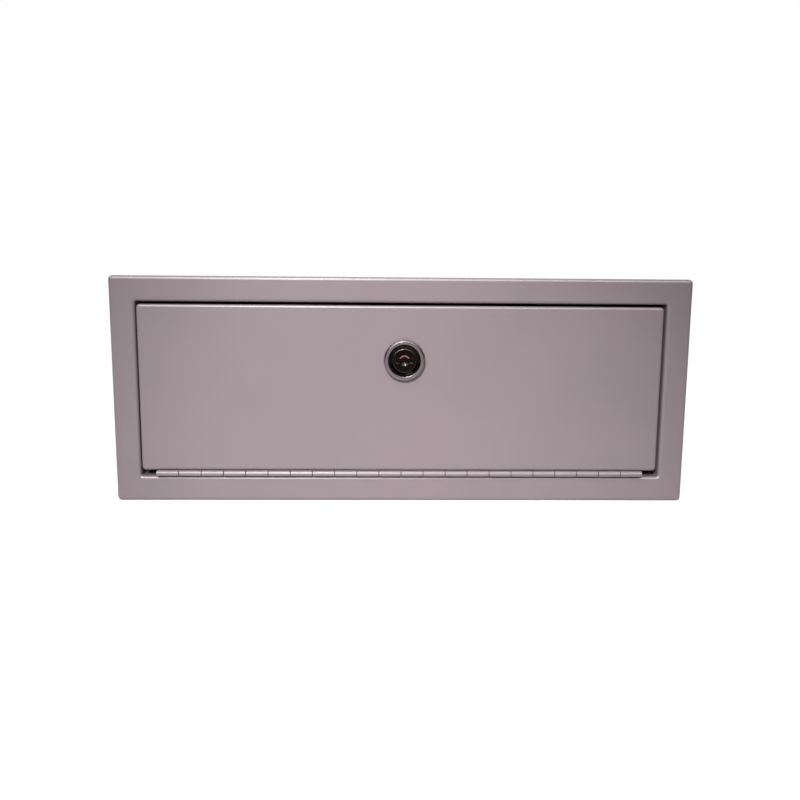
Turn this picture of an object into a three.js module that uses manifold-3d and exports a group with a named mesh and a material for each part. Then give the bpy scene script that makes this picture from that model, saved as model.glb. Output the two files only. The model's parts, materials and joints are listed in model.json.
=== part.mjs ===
// A lockable cash drawer: a welded sheet-steel case with an inset drop front on a piano hinge,
// a cam lock, and a lift-out cash tray. Millimetres, +Z up, the drop front faces -Y.
import * as THREE from "three";
import { mergeVertices } from "three/addons/utils/BufferGeometryUtils.js";
import Module from "manifold-3d";

const wasm = await Module();
wasm.setup();

// ---- Driving dimensions ----

// Case
const frameWidth = 323.85;
const frameHeight = 127;
const caseDepth = 279.4;
const sheet = 1.2; // steel of the case and the drop front
const bendRadius = 2; // outside radius of the case's folds
const cornerRadius = 2.4; // ground corners of the two end caps
const seam = 0.1; // gap between sheets that are welded or laid together
const over = 1; // cutters run this far past what they cut
const flange = 14; // face band over and beside the opening
const flangeBelow = 14.4; // and under it
const openingCorner = 1;
const capDepth = 12; // outer return of the front frame and of the back cap
const lipDepth = 20; // inner return of the front frame
const shellInset = 3; // how far the shell stops short of each end face
const topFlange = 12; // side folds of the top sheet
const fixingHoleRadius = 3;
const fixingSpacingX = 240;
const fixingSpacingY = 160;

// Drop front
const doorDepth = 12.7;
const doorLip = 8; // second fold behind the edges of the drop front
const doorBend = 1.6; // outside radius of its folds
const doorCorner = 2;
const doorGapLeft = 0.7;
const doorGapRight = 1.5;
const doorGapTop = 1.5;

// Piano hinge
const knuckleLength = 12.58;
const knuckleCount = 22;
const knuckleGap = 0.4;
const leafThickness = 0.75;
const leafDepth = 12.2; // from the hinge axis to the back edge of a leaf
const pinBore = 0.85; // radius inside the knuckles
const pinClearance = 0.1;
const axisProud = 0.6; // the hinge axis stands this far in front of the face

// Cam lock
const lockX = 1;
const lockBelowTop = 30.4; // lock centre below the top edge of the drop front
const bezelRadius = 11.5;
const bezelBore = 9.1;
const bezelProud = 3.1;
const bezelSlope = 0.9; // bevel round the bezel's rim
const edge = 0.2; // broken edge of the turned lock parts
const headRadius = 11.2;
const headThickness = 1;
const collarRadius = 8.2;
const collarProud = 2.8;
const collarWall = 0.3; // flat ring round the plug, inside the collar's chamfer
const barrelRadius = 9.5;
const barrelLength = 20;
const barrelFlat = 8; // half the width across the two flats
const plugRadius = 6.6;
const plugRecess = 0.6; // plug face behind the bezel's face
const plugClearance = 0.1;
const holeClearance = 0.2;
const keySlotWidth = 9.9;
const keySlotHeight = 2.4;
const keySlotDepth = 9;
const countersinkRadius = 3; // conical lead-in round the middle of the key slot
const countersinkDepth = 1.2;
const shutterSetback = 1.4;
const shutterThickness = 1.2;
const lockNutFlats = 23.8;
const lockNutThickness = 3;
const lockWasherRadius = 12.2;
const lockWasherThickness = 0.8;
const tailSize = 6; // square tail of the plug
const tailClearance = 0.15;
const stopWasherRadius = 8;
const stopWasherThickness = 1;
const stopWasherWeb = 1.2; // metal left between its bite and its square hole
const camThickness = 2;
const camWidth = 16;
const camCorner = 7.5;
const camReach = 41; // lock centre to the cam's tip
const camScrewRadius = 2.3;
const camScrewGrip = 8; // length of thread in the plug
const camScrewFlats = 8;
const camScrewHead = 3.5;
const camWasherRadius = 5.5;
const camWasherThickness = 1;

// Stops behind the drop front
const stopHeight = 14;
const stopAboveCentre = 38; // middle of each stop above the middle of the case
const stopReach = 10;
const stopDepth = 9.5;
const bumperRadius = 3.2;
const bumperThickness = 1.3;
const bumperGap = 0.2; // free play of the closed drop front

// Cash tray
const trayWidth = 286;
const trayDepth = 246;
const trayHeight = 56;
const trayWall = 2.2;
const trayFloor = 2.4;
const trayCorner = 5;
const traySetback = 26; // front of the tray behind the face
const trayFit = 0.4; // clearance of the pieces that stand in the tray
const notchHalfWidth = 28; // finger notch in the front wall
const notchDepth = 16;
const notchCorner = 12;
const guideHeight = 12;
const guideFoot = 10;
const guideLength = 220;
const guideClearance = 0.8;

// Coin cups
const cupCount = 5;
const cupTrayDepth = 84;
const cupTrayHeight = 40;
const cupWall = 1.6;
const cupScoopRadius = 26;
const cupBackRadius = 8;

// Note bays
const bayCount = 4;
const dividerThickness = 1.6;
const dividerHeight = 46;
const rodRadius = 1.5;
const rodClearance = 0.12;
const rodFromBack = 9; // rod centre in front of the tray's rear wall
const rodBelowRim = 14; // rod centre below the tray's rim
const armWidth = 26;
const armThickness = 2.4;
const armHubRadius = 4.2;
const armReach = 82; // rod centre to the heel of the foot
const armFoot = 14; // length of the flat foot
const armFloorGap = 0.5;

// ---- Places that follow from them ----

const halfWidth = frameWidth / 2;
const halfHeight = frameHeight / 2;
const openingWidth = frameWidth - 2 * flange;
const openingTop = halfHeight - flange;
const openingBottom = flangeBelow - halfHeight;
const openingHeight = openingTop - openingBottom;
const openingZ = (openingTop + openingBottom) / 2;

const shellHalfWidth = halfWidth - sheet - seam;
const shellHalfHeight = halfHeight - sheet - seam;
const shellFront = shellInset;
const shellBack = caseDepth - shellInset;
const shellMiddle = (shellFront + shellBack) / 2;
const floorTop = -shellHalfHeight + sheet;

const hingeRadius = pinBore + leafThickness;
const axisY = -axisProud;
const axisZ = openingBottom + seam + hingeRadius;
const hingeLength = knuckleLength * knuckleCount;

const doorLeft = -openingWidth / 2 + doorGapLeft;
const doorRight = openingWidth / 2 - doorGapRight;
const doorTop = openingTop - doorGapTop;
const doorBottom = axisZ + hingeRadius + seam;
const doorWidth = doorRight - doorLeft;
const doorHeight = doorTop - doorBottom;
const doorX = (doorLeft + doorRight) / 2;
const doorZ = (doorTop + doorBottom) / 2;

const lockZ = doorTop - lockBelowTop;
const plugFace = -bezelProud + plugRecess;
const tailStart = barrelLength + seam;
const camFront = tailStart + stopWasherThickness + seam;
const camBack = camFront + camThickness;
const tailEnd = camBack - seam;
const camWasherFront = camBack + seam;
const camScrewFront = camWasherFront + camWasherThickness + seam;

const trayFront = traySetback;
const trayBack = traySetback + trayDepth;
const trayBottom = floorTop + seam;
const trayTop = trayBottom + trayHeight;
const trayInside = trayWidth - 2 * trayWall;
const trayFloorTop = trayBottom + trayFloor;
const cupTrayFront = trayFront + trayWall + trayFit;
const cupTrayBack = cupTrayFront + cupTrayDepth;
const cupTrayWidth = trayInside - 2 * trayFit;
const insertBottom = trayFloorTop + seam;
const dividerFront = cupTrayBack + trayFit;
const dividerBack = trayBack - trayWall - trayFit;
const bayPitch = trayInside / bayCount;
const rodY = trayBack - trayWall - rodFromBack;
const rodZ = trayTop - rodBelowRim;

// ---- Shapes and solids ----

// A rectangle with round corners, as a THREE.Shape or a hole's THREE.Path.
function roundedRectangle(width, height, radius, x = 0, y = 0, Kind = THREE.Shape) {
  const outline = new Kind();
  const [left, right] = [x - width / 2, x + width / 2];
  const [low, high] = [y - height / 2, y + height / 2];
  outline.moveTo(left + radius, low);
  outline.lineTo(right - radius, low);
  outline.absarc(right - radius, low + radius, radius, -Math.PI / 2, 0);
  outline.lineTo(right, high - radius);
  outline.absarc(right - radius, high - radius, radius, 0, Math.PI / 2);
  outline.lineTo(left + radius, high);
  outline.absarc(left + radius, high - radius, radius, Math.PI / 2, Math.PI);
  outline.lineTo(left, low + radius);
  outline.absarc(left + radius, low + radius, radius, Math.PI, 1.5 * Math.PI);
  return outline;
}

function polygon(points) {
  return new THREE.Shape(points.map(([x, y]) => new THREE.Vector2(x, y)));
}

// A closed geometry as a manifold-3d solid.
function solid(geometry) {
  const bare = geometry.clone();
  for (const name of ["normal", "uv"]) bare.deleteAttribute(name);
  const merged = mergeVertices(bare, 1e-4);
  return new wasm.Manifold(
    new wasm.Mesh({
      numProp: 3,
      vertProperties: merged.attributes.position.array,
      triVerts: new Uint32Array(merged.index.array),
    }),
  );
}

// A manifold-3d solid as a geometry with flat faces.
function geometryOf(made) {
  const mesh = made.getMesh();
  const indexed = new THREE.BufferGeometry();
  const places = Float32Array.from(mesh.vertProperties);
  indexed.setAttribute("position", new THREE.BufferAttribute(places, 3));
  indexed.setIndex(new THREE.BufferAttribute(Uint32Array.from(mesh.triVerts), 1));
  const flat = indexed.toNonIndexed();
  flat.computeVertexNormals();
  return flat;
}

// Extrudes an outline drawn in X and Z from yFront back to yBack, with both ends rounded over.
function alongY(outline, yFront, yBack, rounding = 0, curveSegments = 4) {
  const geometry = new THREE.ExtrudeGeometry(outline, {
    depth: yBack - yFront - 2 * rounding,
    bevelEnabled: rounding > 0,
    bevelThickness: rounding,
    bevelSize: rounding,
    bevelOffset: -rounding,
    bevelSegments: 4,
    curveSegments,
  });
  return solid(geometry.rotateX(Math.PI / 2).translate(0, yBack - rounding, 0));
}

// Extrudes an outline drawn in Y and Z from xLow to xHigh.
function alongX(outline, xLow, xHigh, curveSegments = 4) {
  const options = { depth: xHigh - xLow, bevelEnabled: false, curveSegments };
  const turn = new THREE.Matrix4().makeBasis(
    new THREE.Vector3(0, 1, 0),
    new THREE.Vector3(0, 0, 1),
    new THREE.Vector3(1, 0, 0),
  );
  const geometry = new THREE.ExtrudeGeometry(outline, options).applyMatrix4(turn);
  return solid(geometry.translate(xLow, 0, 0));
}

// Extrudes an outline drawn in X and Y from zLow to zHigh.
function alongZ(outline, zLow, zHigh, curveSegments = 4) {
  const options = { depth: zHigh - zLow, bevelEnabled: false, curveSegments };
  return solid(new THREE.ExtrudeGeometry(outline, options).translate(0, 0, zLow));
}

function box([x0, y0, z0], [x1, y1, z1]) {
  const geometry = new THREE.BoxGeometry(x1 - x0, y1 - y0, z1 - z0);
  return solid(geometry.translate((x0 + x1) / 2, (y0 + y1) / 2, (z0 + z1) / 2));
}

// A cylinder along Y through (x, z).
function cylinderY(radius, x, z, yFront, yBack, sides = 24) {
  const geometry = new THREE.CylinderGeometry(radius, radius, yBack - yFront, sides);
  return solid(geometry.translate(x, (yFront + yBack) / 2, z));
}

// A cylinder along X through (y, z).
function cylinderX(radius, y, z, xLow, xHigh, sides = 16) {
  const geometry = new THREE.CylinderGeometry(radius, radius, xHigh - xLow, sides);
  return solid(geometry.rotateZ(Math.PI / 2).translate((xLow + xHigh) / 2, y, z));
}

// A vertical cylinder through (x, y).
function cylinderZ(radius, x, y, zLow, zHigh, sides = 16) {
  const geometry = new THREE.CylinderGeometry(radius, radius, zHigh - zLow, sides);
  return solid(geometry.rotateX(Math.PI / 2).translate(x, y, (zLow + zHigh) / 2));
}

// Turns a [radius, y] profile about the lock's axis.
function turnedAboutLock(profile, sides = 32) {
  const points = profile.map(([radius, y]) => new THREE.Vector2(radius, y));
  return solid(new THREE.LatheGeometry(points, sides).translate(lockX, 0, lockZ));
}

// A hexagon across the given flats, centred on the lock's axis.
function hexagon(flats, yFront, yBack) {
  return cylinderY(flats / Math.sqrt(3), lockX, lockZ, yFront, yBack, 6);
}

// ---- Materials ----

const coat = { color: 0xb9aab0, roughness: 0.42, metalness: 0 };
const chrome = { color: 0xb8b4b8, roughness: 0.25, metalness: 1 };
const darkNickel = { color: 0x1c1a1b, roughness: 0.2, metalness: 1 };
const zinc = { color: 0xa9aaa4, roughness: 0.35, metalness: 1 };
const rubber = { color: 0x161616, roughness: 0.85, metalness: 0 };
const plastic = { color: 0x1b1b1d, roughness: 0.55, metalness: 0 };

const cashDrawer = new THREE.Group();
const fromFaceCentre = new THREE.Group(); // its origin is the middle of the front face
cashDrawer.add(fromFaceCentre);
fromFaceCentre.position.set(0, (bezelProud - caseDepth) / 2, halfHeight);

function add(name, made, finish) {
  const mesh = new THREE.Mesh(geometryOf(made), new THREE.MeshStandardMaterial(finish));
  mesh.name = name;
  fromFaceCentre.add(mesh);
}

// ---- Case ----

// A face band with two returns: the outer one wraps the shell, the inner one lines the mouth.
function frontFrame() {
  const beyond = 2 * lipDepth;
  const face = roundedRectangle(frameWidth, frameHeight, cornerRadius);
  const mouth = [openingWidth, openingHeight, openingCorner];
  face.holes.push(roundedRectangle(...mouth, 0, openingZ, THREE.Path));
  const hollow = roundedRectangle(
    frameWidth - 2 * sheet,
    frameHeight - 2 * sheet,
    cornerRadius - sheet,
  );
  const lip = [openingWidth + 2 * sheet, openingHeight + 2 * sheet, openingCorner + sheet];
  hollow.holes.push(roundedRectangle(...lip, 0, openingZ, THREE.Path));
  const folded = alongY(face, 0, beyond, bendRadius).subtract(
    alongY(hollow, sheet, beyond + sheet, bendRadius - sheet),
  );
  const band = box([-frameWidth, 0, -frameHeight], [frameWidth, capDepth, frameHeight]);
  const [lipX, lipZ] = [lip[0] / 2, lip[1] / 2];
  const lining = box([-lipX, 0, openingZ - lipZ], [lipX, lipDepth, openingZ + lipZ]);
  return folded.intersect(band.add(lining));
}

function backCap() {
  const outline = roundedRectangle(frameWidth, frameHeight, cornerRadius);
  const inside = roundedRectangle(
    frameWidth - 2 * sheet,
    frameHeight - 2 * sheet,
    cornerRadius - sheet,
  );
  const front = caseDepth - capDepth;
  const inFront = box([-frameWidth, 0, -frameHeight], [frameWidth, front, frameHeight]);
  return alongY(outline, front - capDepth, caseDepth, bendRadius)
    .subtract(alongY(inside, front - capDepth - sheet, caseDepth - sheet, bendRadius - sheet))
    .subtract(inFront);
}

// The folded section of a sheet along a U, open at the top: two walls and the sheet that joins them.
function foldedU(halfSpan, foot, top, radius) {
  const inner = radius - sheet;
  const inside = halfSpan - sheet;
  const outline = new THREE.Shape();
  outline.moveTo(-halfSpan, top);
  outline.lineTo(-halfSpan, foot + radius);
  outline.absarc(radius - halfSpan, foot + radius, radius, Math.PI, 1.5 * Math.PI);
  outline.lineTo(halfSpan - radius, foot);
  outline.absarc(halfSpan - radius, foot + radius, radius, 1.5 * Math.PI, 2 * Math.PI);
  outline.lineTo(halfSpan, top);
  outline.lineTo(inside, top);
  outline.lineTo(inside, foot + radius);
  outline.absarc(inside - inner, foot + radius, inner, 0, -Math.PI / 2, true);
  outline.lineTo(inner - inside, foot + sheet);
  outline.absarc(inner - inside, foot + radius, inner, 1.5 * Math.PI, Math.PI, true);
  outline.lineTo(-inside, top);
  return outline;
}

function fixingHoles(zLow, zHigh) {
  const holes = [];
  for (const x of [-fixingSpacingX / 2, fixingSpacingX / 2])
    for (const y of [shellMiddle - fixingSpacingY / 2, shellMiddle + fixingSpacingY / 2])
      holes.push(cylinderZ(fixingHoleRadius, x, y, zLow, zHigh));
  return wasm.Manifold.union(holes);
}

function caseTub() {
  const wallTop = shellHalfHeight - bendRadius;
  const outline = foldedU(shellHalfWidth, -shellHalfHeight, wallTop, bendRadius);
  const holes = fixingHoles(-halfHeight, floorTop + sheet);
  return alongY(outline, shellFront, shellBack).subtract(holes);
}

function caseTop() {
  const span = shellHalfWidth - sheet - seam;
  const outline = foldedU(span, -shellHalfHeight, topFlange - shellHalfHeight, bendRadius);
  const holes = fixingHoles(shellHalfHeight - 2 * sheet, halfHeight);
  return alongY(outline, shellFront, shellBack).rotate([0, 180, 0]).subtract(holes);
}

function trayGuide(side) {
  const upright = trayWidth / 2 + guideClearance;
  const foot = floorTop + seam;
  const outline = polygon([
    [side * upright, foot],
    [side * upright, foot + guideHeight],
    [side * (upright + sheet), foot + guideHeight],
    [side * (upright + sheet), foot + sheet],
    [side * (upright + guideFoot), foot + sheet],
    [side * (upright + guideFoot), foot],
  ]);
  const middle = (trayFront + trayBack) / 2;
  return alongY(outline, middle - guideLength / 2, middle + guideLength / 2);
}

const stopFace = doorDepth + bumperGap + bumperThickness + seam;
const stopOuter = openingWidth / 2 - seam;

function doorStop(side) {
  const [low, high] = [stopAboveCentre - stopHeight / 2, stopAboveCentre + stopHeight / 2];
  const leg = box([stopOuter - sheet, stopFace, low], [stopOuter, stopFace + stopDepth, high]);
  const tab = box([stopOuter - stopReach, stopFace, low], [stopOuter, stopFace + sheet, high]);
  const made = leg.add(tab);
  return side > 0 ? made : made.mirror([1, 0, 0]);
}

function bumper(side) {
  const front = doorDepth + bumperGap;
  const x = side * (stopOuter - stopReach / 2);
  return cylinderY(bumperRadius, x, stopAboveCentre, front, front + bumperThickness, 20);
}

add("front_frame", frontFrame(), coat);
add("case_tub", caseTub(), coat);
add("case_top", caseTop(), coat);
add("back_cap", backCap(), coat);
for (const [word, side] of [["left", -1], ["right", 1]]) {
  add(`tray_guide_${word}`, trayGuide(side), coat);
  add(`door_stop_${word}`, doorStop(side), coat);
  add(`stop_bumper_${word}`, bumper(side), rubber);
}

// ---- Drop front ----

// The barrel's hole in the drop front, round with two flats.
function lockHole(yFront, yBack) {
  const reach = 2 * barrelRadius;
  const flat = barrelFlat + holeClearance;
  const round = cylinderY(barrelRadius + holeClearance, lockX, lockZ, yFront, yBack, 32);
  const slab = box([lockX - reach, yFront, lockZ - flat], [lockX + reach, yBack, lockZ + flat]);
  return round.intersect(slab);
}

function doorPan() {
  const centre = [doorX, doorZ];
  const outline = roundedRectangle(doorWidth, doorHeight, doorCorner, ...centre);
  const inside = [doorWidth - 2 * sheet, doorHeight - 2 * sheet, doorCorner - sheet];
  const hollow = roundedRectangle(...inside, ...centre);
  const window = [doorWidth - 2 * doorLip, doorHeight - 2 * doorLip, doorCorner];
  const backOpening = roundedRectangle(...window, ...centre);
  return alongY(outline, 0, doorDepth, doorBend)
    .subtract(alongY(hollow, sheet, doorDepth - sheet, doorBend - sheet))
    .subtract(alongY(backOpening, doorDepth - 2 * sheet, doorDepth + sheet))
    .subtract(lockHole(-sheet, 2 * sheet));
}

// One leaf of the hinge: its strip leaves the barrel at the bottom (side -1) or the top (side 1),
// and it keeps every second knuckle, starting with the given one.
function hingeLeaf(side, firstKnuckle) {
  const [left, right] = [doorX - hingeLength / 2, doorX + hingeLength / 2];
  const [outside, inside] = [axisZ + side * hingeRadius, axisZ + side * pinBore];
  const strip = box(
    [left, axisY, Math.min(outside, inside)],
    [right, axisY + leafDepth, Math.max(outside, inside)],
  );
  const bore = cylinderX(pinBore, axisY, axisZ, left - over, right + over);
  let leaf = cylinderX(hingeRadius, axisY, axisZ, left, right).add(strip).subtract(bore);
  const reach = hingeRadius + knuckleGap;
  for (let knuckle = 1 - firstKnuckle; knuckle < knuckleCount; knuckle += 2) {
    const from = left + knuckle * knuckleLength - knuckleGap / 2;
    const to = from + knuckleLength + knuckleGap;
    const low = [from, axisY - reach, axisZ - reach];
    leaf = leaf.subtract(box(low, [to, axisY + reach, axisZ + reach]));
  }
  return leaf;
}

function hingePin() {
  const half = hingeLength / 2 - knuckleGap;
  return cylinderX(pinBore - pinClearance, axisY, axisZ, doorX - half, doorX + half);
}

add("door_pan", doorPan(), coat);
add("hinge_leaf_case", hingeLeaf(-1, 0), coat);
add("hinge_leaf_door", hingeLeaf(1, 1), coat);
add("hinge_pin", hingePin(), zinc);

// ---- Cam lock ----

function lockBody() {
  const bore = plugRadius + plugClearance;
  const body = turnedAboutLock([
    [bore, plugFace],
    [bore + collarWall, plugFace],
    [collarRadius - edge, -collarProud],
    [collarRadius, edge - collarProud],
    [collarRadius, -headThickness],
    [headRadius, -headThickness],
    [headRadius, -seam],
    [barrelRadius, -seam],
    [barrelRadius, barrelLength],
    [bore, barrelLength],
    [bore, plugFace],
  ]);
  const reach = 2 * barrelRadius;
  const sides = [-1, 1].map((side) => {
    const [near, far] = [barrelFlat * side, reach * side];
    return box(
      [lockX - reach, 0, lockZ + Math.min(near, far)],
      [lockX + reach, barrelLength + over, lockZ + Math.max(near, far)],
    );
  });
  return body.subtract(sides[0]).subtract(sides[1]);
}

function lockBezel() {
  const back = -headThickness - seam;
  return turnedAboutLock([
    [bezelBore, back],
    [bezelBore, edge - bezelProud],
    [bezelBore + edge, -bezelProud],
    [bezelRadius - bezelSlope, -bezelProud],
    [bezelRadius, bezelSlope - bezelProud],
    [bezelRadius, back],
    [bezelBore, back],
  ]);
}

// The round hole of the washer and the nut on the barrel.
function barrelHole(yFront, yBack) {
  const radius = barrelRadius + holeClearance;
  return cylinderY(radius, lockX, lockZ, yFront - over, yBack + over, 32);
}

const washerFront = sheet + seam;
const nutFront = washerFront + lockWasherThickness + seam;

function lockWasher() {
  const back = washerFront + lockWasherThickness;
  const disc = cylinderY(lockWasherRadius, lockX, lockZ, washerFront, back, 32);
  return disc.subtract(barrelHole(washerFront, back));
}

function lockNut() {
  const back = nutFront + lockNutThickness;
  return hexagon(lockNutFlats, nutFront, back).subtract(barrelHole(nutFront, back));
}

// A square bar on the lock's axis.
function squareBar(size, yFront, yBack) {
  const half = size / 2;
  return box([lockX - half, yFront, lockZ - half], [lockX + half, yBack, lockZ + half]);
}

// The square hole of what sits on the plug's tail.
function tailHole(yFront, yBack) {
  return squareBar(tailSize + 2 * tailClearance, yFront - over, yBack + over);
}

// The key's lead-in: a cone that narrows from the plug's face to the height of the key slot.
function countersink() {
  const narrow = keySlotHeight / 2;
  const wide = countersinkRadius + (over * (countersinkRadius - narrow)) / countersinkDepth;
  const length = countersinkDepth + over;
  const cone = new THREE.CylinderGeometry(narrow, wide, length, 24);
  return solid(cone.translate(lockX, plugFace + countersinkDepth - length / 2, lockZ));
}

function lockPlug() {
  const halfSlot = keySlotWidth / 2;
  const [slotFront, slotEnd] = [plugFace - over, plugFace + keySlotDepth];
  const slot = box(
    [lockX - halfSlot, slotFront, lockZ - keySlotHeight / 2],
    [lockX + halfSlot, slotEnd, lockZ + keySlotHeight / 2],
  );
  const screwRoom = camScrewRadius + plugClearance;
  const screwEnd = tailEnd - camScrewGrip - over;
  return cylinderY(plugRadius, lockX, lockZ, plugFace, barrelLength, 32)
    .add(squareBar(tailSize, barrelLength - over, tailEnd))
    .subtract(slot.add(countersink()))
    .subtract(cylinderY(screwRoom, lockX, lockZ, screwEnd, tailEnd + over, 20));
}

function keyShutter() {
  const front = plugFace + shutterSetback;
  const half = keySlotWidth / 2 - seam;
  const rise = keySlotHeight / 2 - seam;
  const back = front + shutterThickness;
  return box([lockX - half, front, lockZ - rise], [lockX + half, back, lockZ + rise]);
}

// A disc with a bite out of its rim: the bite's two ends stop the plug after a quarter turn.
function stopWasher() {
  const back = tailStart + stopWasherThickness;
  const disc = cylinderY(stopWasherRadius, lockX, lockZ, tailStart, back, 24);
  const near = tailSize / 2 + stopWasherWeb;
  const bite = box(
    [lockX + near, tailStart - over, lockZ + near],
    [lockX + stopWasherRadius, back + over, lockZ + stopWasherRadius],
  );
  return disc.subtract(tailHole(tailStart, back)).subtract(bite);
}

// Unlocked, the cam points to the left; a quarter turn lifts it behind the frame's top lip.
function lockCam() {
  const length = camReach + camWidth / 2;
  const x = lockX + (camWidth / 2 - camReach) / 2;
  const outline = roundedRectangle(length, camWidth, camCorner, x, lockZ);
  return alongY(outline, camFront, camBack, 0, 6).subtract(tailHole(camFront, camBack));
}

function camWasher() {
  const back = camWasherFront + camWasherThickness;
  const hole = camScrewRadius + holeClearance;
  const disc = cylinderY(camWasherRadius, lockX, lockZ, camWasherFront, back);
  return disc.subtract(
    cylinderY(hole, lockX, lockZ, camWasherFront - over, back + over, 20),
  );
}

function camScrew() {
  const [tip, neck] = [tailEnd - camScrewGrip, camScrewFront + over];
  const shank = cylinderY(camScrewRadius, lockX, lockZ, tip, neck, 20);
  return hexagon(camScrewFlats, camScrewFront, camScrewFront + camScrewHead).add(shank);
}

add("lock_body", lockBody(), darkNickel);
add("lock_bezel", lockBezel(), chrome);
add("lock_washer", lockWasher(), zinc);
add("lock_nut", lockNut(), zinc);
add("lock_plug", lockPlug(), darkNickel);
add("key_shutter", keyShutter(), darkNickel);
add("stop_washer", stopWasher(), zinc);
add("lock_cam", lockCam(), zinc);
add("cam_washer", camWasher(), zinc);
add("cam_screw", camScrew(), zinc);

// ---- Cash tray ----

function rodHole(xLow, xHigh) {
  return cylinderX(rodRadius + rodClearance, rodY, rodZ, xLow, xHigh, 12);
}

function cashTray() {
  const middle = (trayFront + trayBack) / 2;
  const outer = roundedRectangle(trayWidth, trayDepth, trayCorner, 0, middle);
  const inner = [trayInside, trayDepth - 2 * trayWall, trayCorner - trayWall];
  const cavity = roundedRectangle(...inner, 0, middle);
  const notch = roundedRectangle(2 * notchHalfWidth, 2 * notchDepth, notchCorner, 0, trayTop);
  return alongZ(outer, trayBottom, trayTop)
    .subtract(alongZ(cavity, trayFloorTop, trayTop + over))
    .subtract(alongY(notch, trayFront - over, trayFront + trayWall + over))
    .subtract(rodHole(-trayWidth, trayWidth));
}

// Cups with a deep scoop at the front, where a finger slides the coins out.
function coinCups() {
  const top = insertBottom + cupTrayHeight;
  const half = cupTrayWidth / 2;
  const middle = (cupTrayFront + cupTrayBack) / 2;
  const corner = trayCorner - trayWall;
  const block = roundedRectangle(cupTrayWidth, cupTrayDepth, corner, 0, middle);
  const [front, back] = [cupTrayFront + cupWall, cupTrayBack - cupWall];
  const low = insertBottom + cupWall;
  const scoop = new THREE.Shape();
  scoop.moveTo(front, top + over);
  scoop.lineTo(front, low + cupScoopRadius);
  scoop.absarc(
    front + cupScoopRadius,
    low + cupScoopRadius,
    cupScoopRadius,
    Math.PI,
    1.5 * Math.PI,
  );
  scoop.lineTo(back - cupBackRadius, low);
  scoop.absarc(
    back - cupBackRadius,
    low + cupBackRadius,
    cupBackRadius,
    1.5 * Math.PI,
    2 * Math.PI,
  );
  scoop.lineTo(back, top + over);
  const cupWidth = (cupTrayWidth - (cupCount + 1) * cupWall) / cupCount;
  let cups = alongZ(block, insertBottom, top);
  for (let cup = 0; cup < cupCount; cup++) {
    const left = cupWall - half + cup * (cupWidth + cupWall);
    cups = cups.subtract(alongX(scoop, left, left + cupWidth, 8));
  }
  return cups;
}

function noteDivider(x) {
  const half = dividerThickness / 2;
  const top = insertBottom + dividerHeight;
  const plate = box([x - half, dividerFront, insertBottom], [x + half, dividerBack, top]);
  return plate.subtract(rodHole(x - dividerThickness, x + dividerThickness));
}

function noteRod() {
  const half = trayInside / 2 + trayWall / 2;
  return cylinderX(rodRadius, rodY, rodZ, -half, half, 12);
}

// A hold-down arm: a hub on the rod, a strip that slopes down to the bay's floor, and a flat foot.
function noteArm(x) {
  const [left, right] = [x - armWidth / 2, x + armWidth / 2];
  const heel = trayFloorTop + armFloorGap;
  const heelY = rodY - armReach;
  const strip = polygon([
    [rodY, rodZ - armThickness / 2],
    [rodY, rodZ + armThickness / 2],
    [heelY, heel + 2 * armThickness],
    [heelY - armFoot, heel + armThickness],
    [heelY - armFoot, heel],
    [heelY, heel],
  ]);
  return alongX(strip, left, right)
    .add(cylinderX(armHubRadius, rodY, rodZ, left, right))
    .subtract(rodHole(left - over, right + over));
}

add("cash_tray", cashTray(), plastic);
add("coin_cups", coinCups(), plastic);
add("note_rod", noteRod(), zinc);
for (let bay = 0; bay < bayCount; bay++) {
  const bayLeft = bay * bayPitch - trayInside / 2;
  if (bay > 0) add(`note_divider_${bay}`, noteDivider(bayLeft), plastic);
  add(`note_arm_${bay + 1}`, noteArm(bayLeft + bayPitch / 2), plastic);
}

export default cashDrawer;
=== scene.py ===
# %% [markdown]
# # A lockable cash drawer, made piece by piece
# The real object is a welded sheet-steel case with a front that drops open on a piano hinge, a cam
# lock in the middle of that front, and a plastic cash tray inside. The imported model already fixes
# every size and every joint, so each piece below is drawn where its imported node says, and rides on
# the same body. The lesson goes from the outside in: light, finishes, folded sheets, hinge, lock, tray.

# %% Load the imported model
import json
import math

import bmesh
import bpy
from mathutils import Matrix, Vector

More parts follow.
